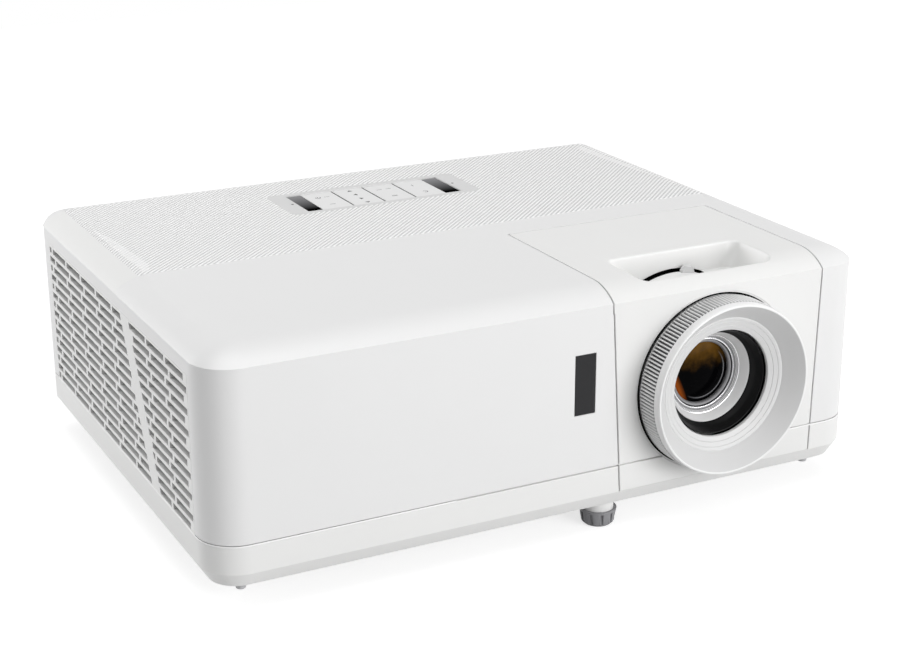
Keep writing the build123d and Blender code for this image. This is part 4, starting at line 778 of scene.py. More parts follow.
# Circuit board: glass fibre under green solder mask.
BOARD = Finish(
    "solder_mask_board", "#14522C", 0.35, grain_mm=1.4, grain_depth_mm=0.01, drift=0.18, drift_mm=6.0
)
# Dark grey ABS of the rear panel, spark-eroded texture.
PANEL_DARK = Finish("textured_dark_abs", "#3A3B3E", 0.5, grain_mm=0.45, grain_depth_mm=0.02, drift=0.06)
# Black nylon of the sockets.
NYLON = Finish("black_nylon", "#141416", 0.45, grain_mm=0.5, grain_depth_mm=0.006, drift=0.1)
# Blue nylon of the video inserts.
BLUE_NYLON = Finish("blue_nylon", "#24408E", 0.45, grain_mm=0.5, grain_depth_mm=0.006, drift=0.1)
# Nickel-plated steel of the socket shells.
NICKEL = Finish(
    "nickel_plated_steel", "#CFCDC8", 0.22, metallic=1.0, grain_mm=0.6, grain_depth_mm=0.002, drift=0.05
)
# Polished aluminium wheel with a phosphor coat.
PHOSPHOR = Finish("phosphor_coat", "#D9C65B", 0.4, metallic=0.2, grain_mm=0.4, grain_depth_mm=0.01, drift=0.1)
# Printing ink of the key marks.
INK = Finish("grey_printing_ink", "#333436", 0.55, grain_mm=0.3, grain_depth_mm=0.002, drift=0.04)

SLOT_FINISHES: dict[str, Finish] = {
    "white_abs": WHITE_ABS,
    "white_top": WHITE_TOP,
    "key_white": KEY_WHITE,
    "smoked": SMOKED,
    "ring_white": RING_WHITE,
    "lens_black": LENS_BLACK,
    "lens_silver": LENS_SILVER,
    "glass": FRONT_GLASS,
    "grey_rubber": GREY_RUBBER,
    "steel": STEEL,
    "brass": BRASS,
    "magnesium": DIE_CAST,
    "heat_aluminium": EXTRUDED,
    "fan_black": FAN_BLACK,
    "board_green": BOARD,
    "panel_dark": PANEL_DARK,
    "socket_black": NYLON,
    "socket_metal": NICKEL,
    "wheel_coat": PHOSPHOR,
}
NODE_SLOTS = {part["node"]: part["material_slot"] for part in frame["record"]["subparts"]}
NODE_BODIES = {node: body for body, nodes in frame["record"]["behaviour"]["bodies"].items() for node in nodes}


def settle(
    piece: bpy.types.Object, finish: Finish, body: str, nodes: Sequence[str] = ()
) -> bpy.types.Object:
    """Dresses a finished piece and ties it to the frame.

    Args:
        piece: the new object.
        finish: its surface.
        body: the body that it rides on.
        nodes: the nodes that it stands for.

    Returns:
        The same piece.
    """
    piece.data.materials.clear()
    piece.data.materials.append(finish.material())
    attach(piece, body)
    if nodes:
        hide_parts(*nodes)
    LOG.info("%s rides on %s in %s", piece.name, body, finish.name)
    return piece


def softened(
    node: str, width_mm: float, segments: int = 2, sharp_deg: float = 38.0, finish: Finish | None = None
) -> bpy.types.Object:
    """A copy of a node with its moulded edges rounded, in the node's own place and finish.

    The copy's triangles are joined and its flat faces made whole, then every edge that bends by more
    than sharp_deg gets a small rounding.

    Args:
        node: the node that the copy stands for.
        width_mm: width of the rounding.
        segments: spans of the rounding.
        sharp_deg: the least bend that is rounded.
        finish: its surface, where that isn't the slot's own.

    Returns:
        The copy.
    """
    source = frame["nodes"][node].data
    points = np.empty(len(source.vertices) * 3)
    source.vertices.foreach_get("co", points)
    corners = np.empty(len(source.loops), dtype=int)
    source.loops.foreach_get("vertex_index", corners)
    mesh = bpy.data.meshes.new(f"{node}_moulding")
    mesh.from_pydata(points.reshape(-1, 3).tolist(), [], corners.reshape(-1, 3).tolist())
    work = bmesh.new()
    work.from_mesh(mesh)
    bmesh.ops.remove_doubles(work, verts=work.verts, dist=WELD_M)
    bmesh.ops.dissolve_limit(work, angle_limit=math.radians(FLAT_DEG), verts=work.verts, edges=work.edges)
    work.to_mesh(mesh)
    work.free()
    mesh.shade_smooth()
    mesh.set_sharp_from_angle(angle=math.radians(CREASE_DEG))
    piece = bpy.data.objects.new(f"{node}_moulding", mesh)
    bpy.context.scene.collection.objects.link(piece)
    bevel = piece.modifiers.new("moulded_edges", "BEVEL")
    bevel.width = width_mm * MM
    bevel.segments = segments
    bevel.limit_method = "ANGLE"
    bevel.angle_limit = math.radians(sharp_deg)
    bevel.use_clamp_overlap = False
    bevel.harden_normals = True
    slot = NODE_SLOTS[node]
    return settle(piece, finish or SLOT_FINISHES[slot], NODE_BODIES[node], [node])


@dataclass
class Case:
    """The white mouldings: softened skins, seam lips, grille edges and filters, and the ribs on the top."""

    edge_mm: dict[str, float] = field(
        default_factory=lambda: {
            "top_cover": 0.35,
            "lens_cover": 0.35,
            "bottom_case": 0.4,
            "front_window": 0.15,
        }
    )
    sharp_deg: float = 60.0
    seam_z: float = 37.95
    corner_radius: float = 20.0
    corner_steps: int = 13
    lip_reach: float = 0.18
    lip_height: float = 0.4
    lip_root: float = 0.6
    lip_steps: int = 7
    lip_right: float = 127.0
    lip_left: float = -59.0
    roll_side: float = 0.4
    roll_back: float = 7.0
    roll_rise: float = 0.05
    roll_steps: int = 13
    edge_outer: float = 0.4
    edge_inner: float = 0.7
    edge_corner: float = 0.3
    edge_depth: float = 0.5
    edge_rise: float = 0.04
    edge_rim: float = 0.02
    filter_gap: float = 0.5
    filter_margin: float = 1.0
    filter_thickness: float = 0.4
    filter_rows: int = 200
    filter_smooth_deg: float = 60.0
    pleat: float = 0.8
    pleat_pitch: float = 3.6
    crown_run: float = 20.0
    crown_fall: float = 7.5
    rib_angle_deg: float = 43.3
    rib_pitch: float = 2.27
    rib_width: float = 1.135
    rib_crest: float = 0.6
    rib_shoulder: float = 0.02
    rib_height: float = 0.25
    valley_height: float = 0.05
    rib_depth: float = 0.5
    rib_front: float = 133.0
    rib_side: float = 13.5
    rib_back: float = 7.0
    rib_steps: int = 11
    rib_least: float = 0.6
    rib_smooth_deg: float = 20.0
    pad_samples: int = 600

    def build(self) -> None:
        """Builds the skins and what lies on them."""
        for node, width in self.edge_mm.items():
            softened(node, width, sharp_deg=self.sharp_deg)
        self.build_lips()
        self.build_rolls()
        for side, face in (("left", Face.LEFT), ("right", Face.RIGHT)):
            self.build_grille_edge(side, face)
            self.build_filter(side, face)
        # The ribs' crests are painted whiter than the cover: painted highlight.
        self.build_bars("top_ribs", 0.0, self.rib_height, RIB_CREST_PAINTED_HIGHLIGHT)
        # The floors between the ribs are painted greyer: painted shade.
        self.build_bars("top_rib_valleys_painted_shade", self.rib_pitch / 2, self.valley_height, RIB_VALLEY_PAINTED_SHADE)

    def build_lips(self) -> None:
        """Builds the lip at the top of the bottom case, which catches light along the seam and is painted whiter,
        a painted highlight.

        Each lip is a half-round bead carried along the case's outline at the seam: a point lies at
        the outline plus reach cos a outwards and height sin a upwards. The outline has two straights
        and a quarter circle, and stops short of the lens and of the back.
        """
        corner = np.radians(np.linspace(0, 90, self.corner_steps))
        angle = np.radians(np.linspace(-90, 90, self.lip_steps))
        reach = np.append(np.cos(angle) * self.lip_reach, -self.lip_root)
        height = np.append(np.sin(angle) * self.lip_height, 0.0)
        wall, back = LAYOUT.case_high[0], LAYOUT.case_high[1] - self.corner_radius
        middle = np.array([wall - self.corner_radius, LAYOUT.front + self.corner_radius])
        turn = np.stack([np.cos(corner), -np.sin(corner)], axis=1)
        outward = np.vstack([[1.0, 0.0], turn, [0.0, -1.0]])
        # Each end is closed by quads that meet at the bead's root.
        fan = np.arange(0, self.lip_steps - 1, 2)
        caps = np.stack([fan, fan + 1, fan + 2, np.full_like(fan, self.lip_steps)], axis=1)
        grids = []
        for side, stop in ((1.0, self.lip_right), (-1.0, self.lip_left)):
            path = np.vstack([[wall, back], middle + self.corner_radius * turn, [side * stop, LAYOUT.front]])
            plan = (path[:, None] + outward[:, None] * reach[None, :, None]) * (side, 1.0)
            z = np.broadcast_to(self.seam_z - self.lip_height + height, plan.shape[:2])
            points = np.concatenate([plan, z[..., None]], axis=2).reshape(-1, 3)
            skin = grid_quads(len(path), len(reach), wrap_columns=True)
            last = (len(path) - 1) * len(reach)
            grids.append((points, np.vstack([skin, caps, caps[:, ::-1] + last])))
        # The lips take the crests' whiter colour: painted highlight along the seam.
        settle(make_piece("seam_lips", *join_grids(grids)), RIB_CREST_PAINTED_HIGHLIGHT, "case")

    def build_rolls(self) -> None:
        """Builds the smooth border of the ribbed rear panel on both rounded sides of the top.

        A point at x and y lies roll_rise over the rounded side: z = top - crown_drop(x) + roll_rise.
        """
        grids = []
        for side in (-1, 1):
            x = side * (LAYOUT.case_high[0] - np.linspace(self.rib_side, self.roll_side, self.roll_steps))
            y = np.array([LAYOUT.front + self.rib_front, LAYOUT.case_high[1] - self.roll_back])
            z = LAYOUT.top - self.crown_drop(x) + self.roll_rise
            surface = np.stack(np.broadcast_arrays(x[:, None], y, z[:, None]), axis=-1)
            grids.append(thick_sheet(surface, (0, 0, -self.rib_depth)))
        settle(make_piece("top_side_borders", *join_grids(grids)), WHITE_ABS, "case")

    def build_grille_edge(self, side: str, face: Face) -> None:
        """Builds the flush edge round a side grille, which covers the joint between grille and case.

        Args:
            side: which grille.
            face: the way that it looks.
        """
        low, high = box_mm(f"{side}_grille")
        middle = (low + high) / 2
        wall = low[0] if face is Face.LEFT else high[0]
        half = (high - low)[1:] / 2
        reaches = (half + self.edge_outer, half - self.edge_inner)
        loops = [box_outline(*-reach, *reach, self.edge_corner) for reach in reaches]
        points, quads = band(*loops, -self.edge_depth, self.edge_rise, self.edge_rim)
        placed = face.place(points, (wall, middle[1], middle[2]))
        settle(make_piece(f"{side}_grille_edge", placed, quads), WHITE_ABS, "case")

    def build_filter(self, side: str, face: Face) -> None:
        """Builds the pleated filter behind a side grille, a dark sheet that gives the slots painted shade.

        A point at y and z lies filter_gap behind the grille, plus pleat times (1 + cos u) / 2, where u
        makes one turn for each pleat_pitch of z.

        Args:
            side: which grille.
            face: the way that it looks.
        """
        low, high = box_mm(f"{side}_grille")
        inward, wall = (1, high[0]) if face is Face.LEFT else (-1, low[0])
        near, far = low + self.filter_margin, high - self.filter_margin
        y, z = np.meshgrid([near[1], far[1]], np.linspace(near[2], far[2], self.filter_rows))
        wave = (1 + np.cos(FULL_TURN * z / self.pleat_pitch)) / 2
        surface = np.stack([wall + inward * (self.filter_gap + self.pleat * wave), y, z], axis=-1)
        sheet = thick_sheet(surface, (inward * self.filter_thickness, 0, 0))
        piece = make_piece(f"{side}_filter", *sheet, smooth_deg=self.filter_smooth_deg)
        # The filter's dark colour is painted shade inside the grille slots.
        settle(piece, FOAM_SHADE, "case")

    def crown_drop(self, x: np.ndarray) -> np.ndarray:
        """How far the top's rounded side edges have fallen at x: a circle that meets the flat top."""
        radius = (self.crown_run**2 + self.crown_fall**2) / (2 * self.crown_fall)
        inward = np.clip(self.crown_run - (LAYOUT.case_high[0] - np.abs(x)), 0, self.crown_run)
        return radius - np.sqrt(radius**2 - inward**2)

    def build_bars(self, name: str, shift: float, height: float, finish: Finish) -> None:
        """Builds one family of slanted bars on the rear of the top: the ribs, or the floors between them.

        A point of a bar is c n + t d with n across and d along the slant, where c is the bar's offset
        plus its place in the cross-section, and t runs from where that line enters the ribbed field to
        where it leaves. The steps of t lie closer together at both ends, as (1 - cos u) / 2, so that the
        bars follow the rounded sides of the top.

        Args:
            name: the piece's name.
            shift: offset of the first bar.
            height: how far the bars rise over the top.
            finish: their surface.
        """
        slant = math.radians(self.rib_angle_deg)
        along = np.array([math.cos(slant), math.sin(slant)])
        across = np.array([-along[1], along[0]])
        half = self.rib_width / 2
        crest = half * self.rib_crest
        section = np.array([-half, -half, -crest, crest, half, half])
        rise = np.array([-self.rib_depth, self.rib_shoulder, height])
        lift = np.concatenate([rise, rise[::-1]])
        lines, starts, ends = self.bar_lines(shift, section, along, across)
        steps = (1 - np.cos(np.linspace(0, math.pi, self.rib_steps))) / 2
        t = starts + (ends - starts) * steps[:, None]
        plan = lines[..., None] * across + t[..., None] * along
        z = LAYOUT.top - self.crown_drop(plan[..., 0]) + lift
        points = np.concatenate([plan, z[..., None]], axis=-1)
        # Two quads close each end of a bar.
        near = np.array([[3, 2, 1, 0], [5, 4, 3, 0]])
        far = near[:, ::-1] + (self.rib_steps - 1) * len(lift)
        bar = np.vstack([grid_quads(self.rib_steps, len(lift), wrap_columns=True), near, far])
        first = np.arange(len(points)) * self.rib_steps * len(lift)
        quads = (bar + first[:, None, None]).reshape(-1, 4)
        piece = make_piece(name, points.reshape(-1, 3), quads, smooth_deg=self.rib_smooth_deg)
        settle(piece, finish, "case")

    def bar_lines(
        self, shift: float, section: np.ndarray, along: np.ndarray, across: np.ndarray
    ) -> tuple[np.ndarray, np.ndarray, np.ndarray]:
        """The lines of one family of bars over the ribbed field, each cut in two where it meets the keypad.

        Args:
            shift: offset of the first bar.
            section: a bar's points across.
            along: the bars' direction.
            across: the direction of the offsets.

        Returns:
            Each line's offset, start and end, for each bar and section point.
        """
        low = np.array([LAYOUT.case_low[0] + self.rib_side, LAYOUT.front + self.rib_front])
        high = np.array([LAYOUT.case_high[0] - self.rib_side, LAYOUT.case_high[1] - self.rib_back])
        spans = np.array([[x, y] for x in (low[0], high[0]) for y in (low[1], high[1])]) @ across
        lines = (np.arange(spans.min(), spans.max(), self.rib_pitch) + shift)[:, None] + section
        crossings = self.crossing(lines.ravel(), along, across, low, high)
        enter, leave = (ends.reshape(lines.shape) for ends in crossings)
        inside = (leave - enter).min(axis=1) > self.rib_least
        lines, enter, leave = lines[inside], enter[inside], leave[inside]
        share = np.linspace(0, 1, self.pad_samples)
        middle = enter.mean(axis=1)[:, None] + (leave - enter).mean(axis=1)[:, None] * share
        covered = KEYPAD.covers(lines.mean(axis=1)[:, None, None] * across + middle[..., None] * along)
        hit = covered.any(axis=1)
        rows = np.arange(len(lines))
        stop = middle[rows, covered.argmax(axis=1)][:, None]
        resume = middle[rows, self.pad_samples - 1 - covered[:, ::-1].argmax(axis=1)][:, None]
        starts = np.vstack([enter[~hit], enter[hit], np.broadcast_to(resume, enter.shape)[hit]])
        ends = np.vstack([leave[~hit], np.broadcast_to(stop, leave.shape)[hit], leave[hit]])
        lines = np.vstack([lines[~hit], lines[hit], lines[hit]])
        kept = (ends - starts).min(axis=1) > self.rib_least
        return lines[kept][:, None], starts[kept][:, None], ends[kept][:, None]

    @staticmethod
    def crossing(
        offset: np.ndarray, along: np.ndarray, across: np.ndarray, low: np.ndarray, high: np.ndarray
    ) -> tuple[np.ndarray, np.ndarray]:
        """Where straight lines enter and leave a rectangle: the slab method, one axis at a time.

        Args:
            offset: each line's offset across.
            along: the lines' direction.
            across: the direction of the offsets.
            low: the rectangle's low corner.
            high: its high corner.

        Returns:
            The way along each line to its entry and to its exit.
        """
        start = offset[:, None] * across
        first = (low - start) / along
        second = (high - start) / along
        enter = np.minimum(first, second).max(axis=1)
        leave = np.maximum(first, second).min(axis=1)
        return enter, leave


@dataclass(frozen=True)
class TurnedRing:
    """A ring about the lens axis: a closed profile of radius and depth, its corners rounded by cut."""

    name: str
    corners: Profile
    cut: float
    finish: Finish
    slot: str
    nodes: tuple[str, ...] = ()

    def build(self, body: str, steps: int) -> None:
        """Turns the profile and ties the ring to a body.

        Args:
            body: the body that it rides on.
            steps: points round the axis.
        """
        piece = LAYOUT.lathe(self.name, rounded(self.corners, self.cut), steps)
        settle(piece, self.finish, body, self.nodes)


# Profiles of the lens: radius, and depth behind the front face, so that what stands proud is below zero.
RING_RIM: Profile = (
    (46.4, -16.2), (46.2, -17.3), (45.9, -17.85), (45.5, -18.0), (45.1, -17.9), (44.8, -17.5), (42.6, -15.0),
    (40.0, -11.9), (38.0, -9.3), (36.6, -4.6),
)
HOOD_CONE: Profile = (
    (44.9, -17.65), (42.8, -15.4), (40.2, -12.3), (38.2, -9.9), (37.0, -8.7), (36.8, -8.35), (36.5, -8.3),
)
HOOD_STEPS: Profile = (
    (36.2, -8.55), (35.9, -8.5), (34.8, -8.1), (34.65, -7.75), (34.4, -7.9), (32.2, -7.15), (32.05, -6.8),
    (31.8, -6.95), (29.8, -6.3), (29.4, -6.1), (29.2, -5.7),
)
HOOD_BACK: Profile = ((29.2, -4.5), (36.4, -4.5), (38.5, -9.2), (44.7, -16.9))
SNOUT: Profile = (
    (28.7, -3.5), (28.7, 8.0), (25.4, 8.0), (24.7, 4.6), (24.9, 3.4), (25.6, 2.6), (26.6, 1.2), (26.9, 0.4),
    (27.9, -2.4), (28.1, -3.4),
)
CELL: Profile = (
    (35.9, 8.2), (35.9, 24.0), (17.7, 24.0), (17.7, 15.8), (20.6, 15.8), (20.6, 10.4), (21.4, 9.4),
    (24.5, 3.8), (24.9, 4.4), (25.2, 8.2),
)
CELL_GROOVE: Profile = (
    (21.0, 9.9), (21.0, 12.6), (19.4, 12.6), (19.4, 11.3), (19.8, 11.0), (20.1, 11.1), (20.3, 10.6),
    (20.6, 10.7), (20.8, 10.1),
)
CELL_EDGE: Profile = ((21.7, 8.9), (21.7, 9.9), (21.2, 9.9), (21.2, 9.3), (21.4, 9.0))
RETAINER: Profile = ((19.7, 10.8), (19.7, 12.5), (18.9, 12.5), (18.9, 10.8))
GLASS_SEAT: Profile = (
    (18.5, 11.9), (18.5, 14.6), (16.9, 14.6), (16.9, 12.7), (17.2, 12.1), (17.8, 11.6), (18.3, 11.6),
)
BAFFLE: Profile = ((19.2, 13.6), (19.2, 15.6), (16.2, 15.6), (16.2, 14.0), (17.2, 13.7))
# A black ring of painted shade fills the gap in the lens hole; the white liner beside it narrows the black.
HOLE_SHADE: Profile = ((47.75, 0.45), (47.75, 2.4), (46.75, 2.4), (46.75, 0.45))
HOLE_LINER: Profile = ((48.45, 0.15), (48.45, 2.4), (47.8, 2.4), (47.8, 0.15))
# Rings of the front group from the outside in, and those in the lens cover's hole.
FRONT_RINGS = (
    TurnedRing("lens_snout", SNOUT, 0.3, LENS_BLACK, "lens_black"),
    TurnedRing("front_cell_rings", CELL, 0.25, LENS_SILVER, "lens_silver", ("front_cell",)),
    # The groove and the glass seat take the darker aluminium: painted shade.
    TurnedRing("cell_groove", CELL_GROOVE, 0.12, LENS_GROOVE_SHADE, "lens_silver"),
    TurnedRing("cell_edge", CELL_EDGE, 0.08, BRIGHT_RING, "lens_silver"),
    TurnedRing("retaining_ring", RETAINER, 0.2, BRIGHT_RING, "lens_silver"),
    TurnedRing("glass_seat", GLASS_SEAT, 0.25, LENS_GROOVE_SHADE, "lens_silver"),
    TurnedRing("glass_baffle", BAFFLE, 0.2, LENS_BLACK, "lens_black"),
)
HOLE_RINGS = (
    TurnedRing("lens_hole_shade", HOLE_SHADE, 0.15, SHADE_BLACK, "fan_black"),
    TurnedRing("lens_hole_liner", HOLE_LINER, 0.15, WHITE_ABS, "white_abs"),
)


@dataclass
class LensUnit:
    """The lens as it shows: ribbed focus ring, black snout, silver cell, bright rings and glass."""

    steps: int = 240
    ring_radius: float = 46.5
    ring_shoulder: tuple[float, float] = (46.0, 0.2)
    sleeve: tuple[float, float] = (43.5, 2.6)
    bore: tuple[float, float] = (40.1, 1.0)
    seat: float = 14.0
    channel: float = 44.2
    channel_lip: float = 0.3
    rim_back: float = -14.2
    ribs: int = 150
    rib_height: float = 2.2
    rib_run: float = 0.3
    groove: float = 1.6
    grip_back: float = -0.4
    grip_front: float = -13.6
    grip_play: float = 0.35
    grip_root: float = 0.2
    grip_smooth_deg: float = 50.0
    glass_radius: float = 16.9
    glass_front: float = 11.6
    glass_crown: float = 2.2
    glass_edge: float = 2.0
    glass_rows: int = 24
    zoom_ring_edge: float = 0.35
    zoom_lever_edge: float = 0.45

    def build(self) -> None:
        """Builds the moving rings, the front group, and the softened zoom ring and lever."""
        self.build_focus_ring()
        self.build_grip()
        hood = LAYOUT.lathe("focus_hood", np.array([*HOOD_CONE, *HOOD_STEPS, *HOOD_BACK]), self.steps)
        # The hood's greyer colour is painted shade.
        settle(hood, HOOD_PAINTED_SHADE, "focus_ring")
        for ring in FRONT_RINGS:
            ring.build("front_group", self.steps)
        self.build_glass()
        for ring in HOLE_RINGS:
            ring.build("case", self.steps)
        softened("zoom_ring", self.zoom_ring_edge)
        softened("zoom_lever", self.zoom_lever_edge, segments=3)

    def build_focus_ring(self) -> None:
        """Builds the focus ring's turned body, with a channel for the grip."""
        outer, back, front = self.ring_radius, self.grip_back, self.grip_front
        profile = np.array([
            (self.sleeve[0], self.seat),
            self.sleeve,
            self.ring_shoulder,
            (outer, back),
            (outer, back - self.channel_lip),
            (self.channel, back - self.channel_lip),
            (self.channel, front + self.channel_lip),
            (outer, front + self.channel_lip),
            (outer, front),
            (outer, self.rim_back),
            *RING_RIM,
            self.bore,
            (self.bore[0], self.seat),
        ])
        ring = LAYOUT.lathe("focus_ring_moulding", profile, self.steps)
        settle(ring, RING_WHITE, "focus_ring", ["focus_ring"])

    def build_grip(self) -> None:
        """Builds the grip: a band round the lens axis that swells into fine ribs.

        The radius at angle a is ring_radius - groove + rib_height times a rounded comb of a.
        """
        inner, floor = self.channel - self.grip_root, self.ring_radius - self.groove
        back, front = self.grip_back - self.grip_play, self.grip_front + self.grip_play
        depths = (back, back - self.rib_run, front + self.rib_run, front)
        profile = np.array([(inner, back), *((floor, depth) for depth in depths), (inner, front)])
        # One tooth of the comb, and how much of it each point of the profile takes.
        comb = np.array([0.0, 0.0, 0.1, 0.9, 1.0, 1.0, 0.9, 0.1])
        share = np.array([0.0, 0.9, 1.0, 1.0, 0.9, 0.0])
        swell = share[:, None] * self.rib_height * np.tile(comb, self.ribs)
        steps = self.ribs * len(comb)
        points = LAYOUT.turned(profile, steps, swell)
        quads = grid_quads(len(profile), steps, True, True)
        grip = make_piece("focus_grip_ribs", points, quads, self.grip_smooth_deg)
        settle(grip, GRIP, "focus_ring", ["focus_grip"])

    def build_glass(self) -> None:
        """Builds the front glass: a dome whose depth grows with the square of the radius.

        At the share s of glass_radius the depth is glass_front + glass_crown s^2.
        """
        share = np.linspace(0, 1, self.glass_rows)
        front = np.stack([share * self.glass_radius, self.glass_front + self.glass_crown * share**2], axis=1)
        behind = front[-1, 1] + self.glass_edge
        profile = np.vstack([front, [(self.glass_radius, behind), (0.0, behind)]])
        quads = grid_quads(len(profile), self.steps, wrap_columns=True)
        glass = make_piece("front_glass_dome", LAYOUT.turned(profile, self.steps), quads)
        settle(glass, FRONT_GLASS, "front_group", ["front_glass"])


@dataclass
class Keypad:
    """The keypad: a wide bezel, graded panes, key plates with painted shade in the gaps between them, and small
    plain marks.
    """

    keys: tuple[str, ...] = ("power_key", "arrow_key", "source_key", "menu_key")
    plate_edge: float = 0.2
    pane_edge: float = 0.15
    length: float = 121.0
    width: float = 45.0
    corner: float = 5.0
    opening_length: float = 98.6
    opening_width: float = 36.2
    opening_corner: float = 1.2
    corner_steps: int = 10
    bezel_rise: float = 0.12
    bezel_depth: float = 0.9
    bezel_rim: float = 0.08
    end_mark: float = 0.8
    end_sides: int = 12
    end_reach: float = 52.0
    margin: float = 0.3
    key_trim: float = 0.25
    key_corner: float = 0.4
    key_edge: float = 0.1
    gap_shade_trim: float = 0.225
    gap_shade_corner: float = 0.1
    gap_shade_edge: float = 0.02
    gap_shade_drop: float = 0.3
    gap_shade_depth: float = 1.6
    mark_size: float = 3.4
    mark_thickness: float = 0.03
    bar_half: float = 0.2
    stem_half: float = 0.22
    arrow_back: float = 0.6
    arrow_tip: float = 0.8
    ring_inner: float = 0.72
    ring_from_deg: float = 140.0
    ring_to_deg: float = 400.0
    ring_steps: int = 20
    middle: np.ndarray = field(init=False)

    def __post_init__(self) -> None:
        """Reads the keypad's middle from the frame."""
        low, high = box_mm("keypad_plate")
        self.middle = (low + high)[:2] / 2

    def covers(self, plan: np.ndarray) -> np.ndarray:
        """Whether points of the top lie under the bezel: a rectangle with round corners, and a margin.

        Args:
            plan: points in X and Y, along the last axis.

        Returns:
            One truth value for each point.
        """
        half = np.array([self.length, self.width]) / 2 + self.margin
        outside = np.abs(plan - self.middle) - half + self.corner
        reach = np.linalg.norm(np.maximum(outside, 0), axis=-1) + np.minimum(outside.max(axis=-1), 0)
        return reach < self.corner

    def build(self) -> None:
        """Builds the bezel, the panes, the keys, the painted shade in the gaps between them and their marks."""
        softened("keypad_plate", self.plate_edge)
        softened("keypad_panes", self.pane_edge, finish=PANE_PAINTED_REFLECTION)
        self.build_bezel()
        self.build_keys()
        self.build_marks()

    def build_bezel(self) -> None:
        """Builds the bezel, a flat frame between two rounded rectangles, and a small mark at each end."""
        top = LAYOUT.top + self.bezel_rise
        outer = (self.length, self.width, self.corner)
        inner = (self.opening_length, self.opening_width, self.opening_corner)
        loops = []
        for length, width, corner in (outer, inner):
            x, y = length / 2, width / 2
            corners = [(-x, -y), (x, -y), (x, y), (-x, y)]
            loops.append(rounded(corners, corner, self.corner_steps) + self.middle)
        bezel = make_piece("keypad_bezel", *band(*loops, top - self.bezel_depth, top, self.bezel_rim))
        settle(bezel, KEY_WHITE, "case")
        drop = polygon(self.end_sides, self.end_mark)
        ends = [self.mark(drop, self.middle + (side * self.end_reach, 0.0), 0.0, top) for side in (-1, 1)]
        settle(make_piece("bezel_marks", *join_grids(ends)), INK, "case")

    def build_keys(self) -> None:
        """Builds the key plates, and a black slab of painted shade in each gap between two keys."""
        boxes = [box_mm(key) for key in self.keys]
        for key, (low, high) in zip(self.keys, boxes):
            trimmed = (low[0] + self.key_trim, low[1], high[0] - self.key_trim, high[1])
            outline = box_outline(*trimmed, self.key_corner)
            plate = make_piece(f"{key}_plate", *slab(outline, low[2], high[2], self.key_edge))
            # The key plates are painted whiter: painted reflection.
            settle(plate, KEY_PLATE_PAINTED_REFLECTION, NODE_BODIES[key], [key])
        # A black slab in each gap stands for the shade there: painted shade.
        key_gap_shades = []
        for (_, left), (right, top) in zip(boxes[:-1], boxes[1:]):
            gap = (left[0] - self.gap_shade_trim, right[1], right[0] + self.gap_shade_trim, left[1])
            outline = box_outline(*gap, self.gap_shade_corner)
            key_gap_shades.append(slab(outline, top[2] - self.gap_shade_depth, top[2] - self.gap_shade_drop, self.gap_shade_edge))
        settle(make_piece("key_gap_shade", *join_grids(key_gap_shades)), SHADE_BLACK, "case")

    def build_marks(self) -> None:
        """Builds the marks: a broken ring with a bar, four arrowheads and bars, as thin flat plates."""
        half, back = self.mark_size / 2, -self.mark_size / 2 * self.arrow_back
        arrow = np.array([(-half, back), (0.0, back), (half, back), (0.0, half * self.arrow_tip)])
        thin = self.bar_half
        bar = np.array([(-half, -thin), (half, -thin), (half, thin), (-half, thin)])
        thin = self.stem_half
        stem = np.array([(-thin, 0.0), (thin, 0.0), (thin, half), (-thin, half)])
        angle = np.radians(np.linspace(self.ring_from_deg, self.ring_to_deg, self.ring_steps))
        ring = np.stack([np.cos(angle), np.sin(angle)], axis=1) * half
        broken = np.vstack([ring, ring[::-1] * self.ring_inner])
        # Each mark's outline, its place from the key's middle, and its turn in degrees.
        marks: dict[str, list[tuple[np.ndarray, tuple[float, float], float]]] = {
            "power_key": [
                (broken, (-2.5, 8.0), 0),
                (stem, (-2.5, 8.2), 0),
                (bar, (3.0, 8.0), 0),
                (bar, (0.0, -8.0), 0),
            ],
            "arrow_key": [
                (arrow, (0.0, 13.5), 0),
                (arrow, (0.0, 4.5), 90),
                (arrow, (0.0, -4.5), -90),
                (arrow, (0.0, -13.5), 180),
            ],
            "source_key": [
                (bar, (-3.0, 8.0), 0),
                (bar, (3.0, 8.0), 0),
                (bar, (0.0, -7.4), 0),
                (bar, (0.0, -8.6), 0),
            ],
            "menu_key": [(bar, (-1.0, 8.0), 90), (broken, (0.0, -8.0), 90)],
        }
        for key, shapes in marks.items():
            low, high = box_mm(key)
            middle = (low + high)[:2] / 2
            grids = [self.mark(shape, middle + place, turn, high[2]) for shape, place, turn in shapes]
            settle(make_piece(f"{key}_marks", *join_grids(grids)), INK, key)

    def mark(self, shape: np.ndarray, middle: np.ndarray, turn_deg: float, top: float) -> Grid:
        """One mark: its outline turned about its middle and set on the key as a thin plate.

        Args:
            shape: the outline about zero.
            middle: its place in X and Y.
            turn_deg: its turn.
            top: height of the key's face.

        Returns:
            Points and quads.
        """
        turn = math.radians(turn_deg)
        matrix = np.array([[math.cos(turn), math.sin(turn)], [-math.sin(turn), math.cos(turn)]])
        outline = shape @ matrix + middle
        count = len(outline)
        levels = np.repeat([top - self.mark_thickness, top + self.mark_thickness], count)
        walls = np.column_stack([np.tile(outline, (2, 1)), levels])
        # Each face is a strip of quads between the two halves of the outline.
        near = np.arange(count // 2 - 1)
        strip = np.stack([near, near + 1, count - 2 - near, count - 1 - near], axis=1)
        return walls, np.vstack([grid_quads(2, count, wrap_columns=True), strip[:, ::-1], strip + count])


KEYPAD = Keypad()


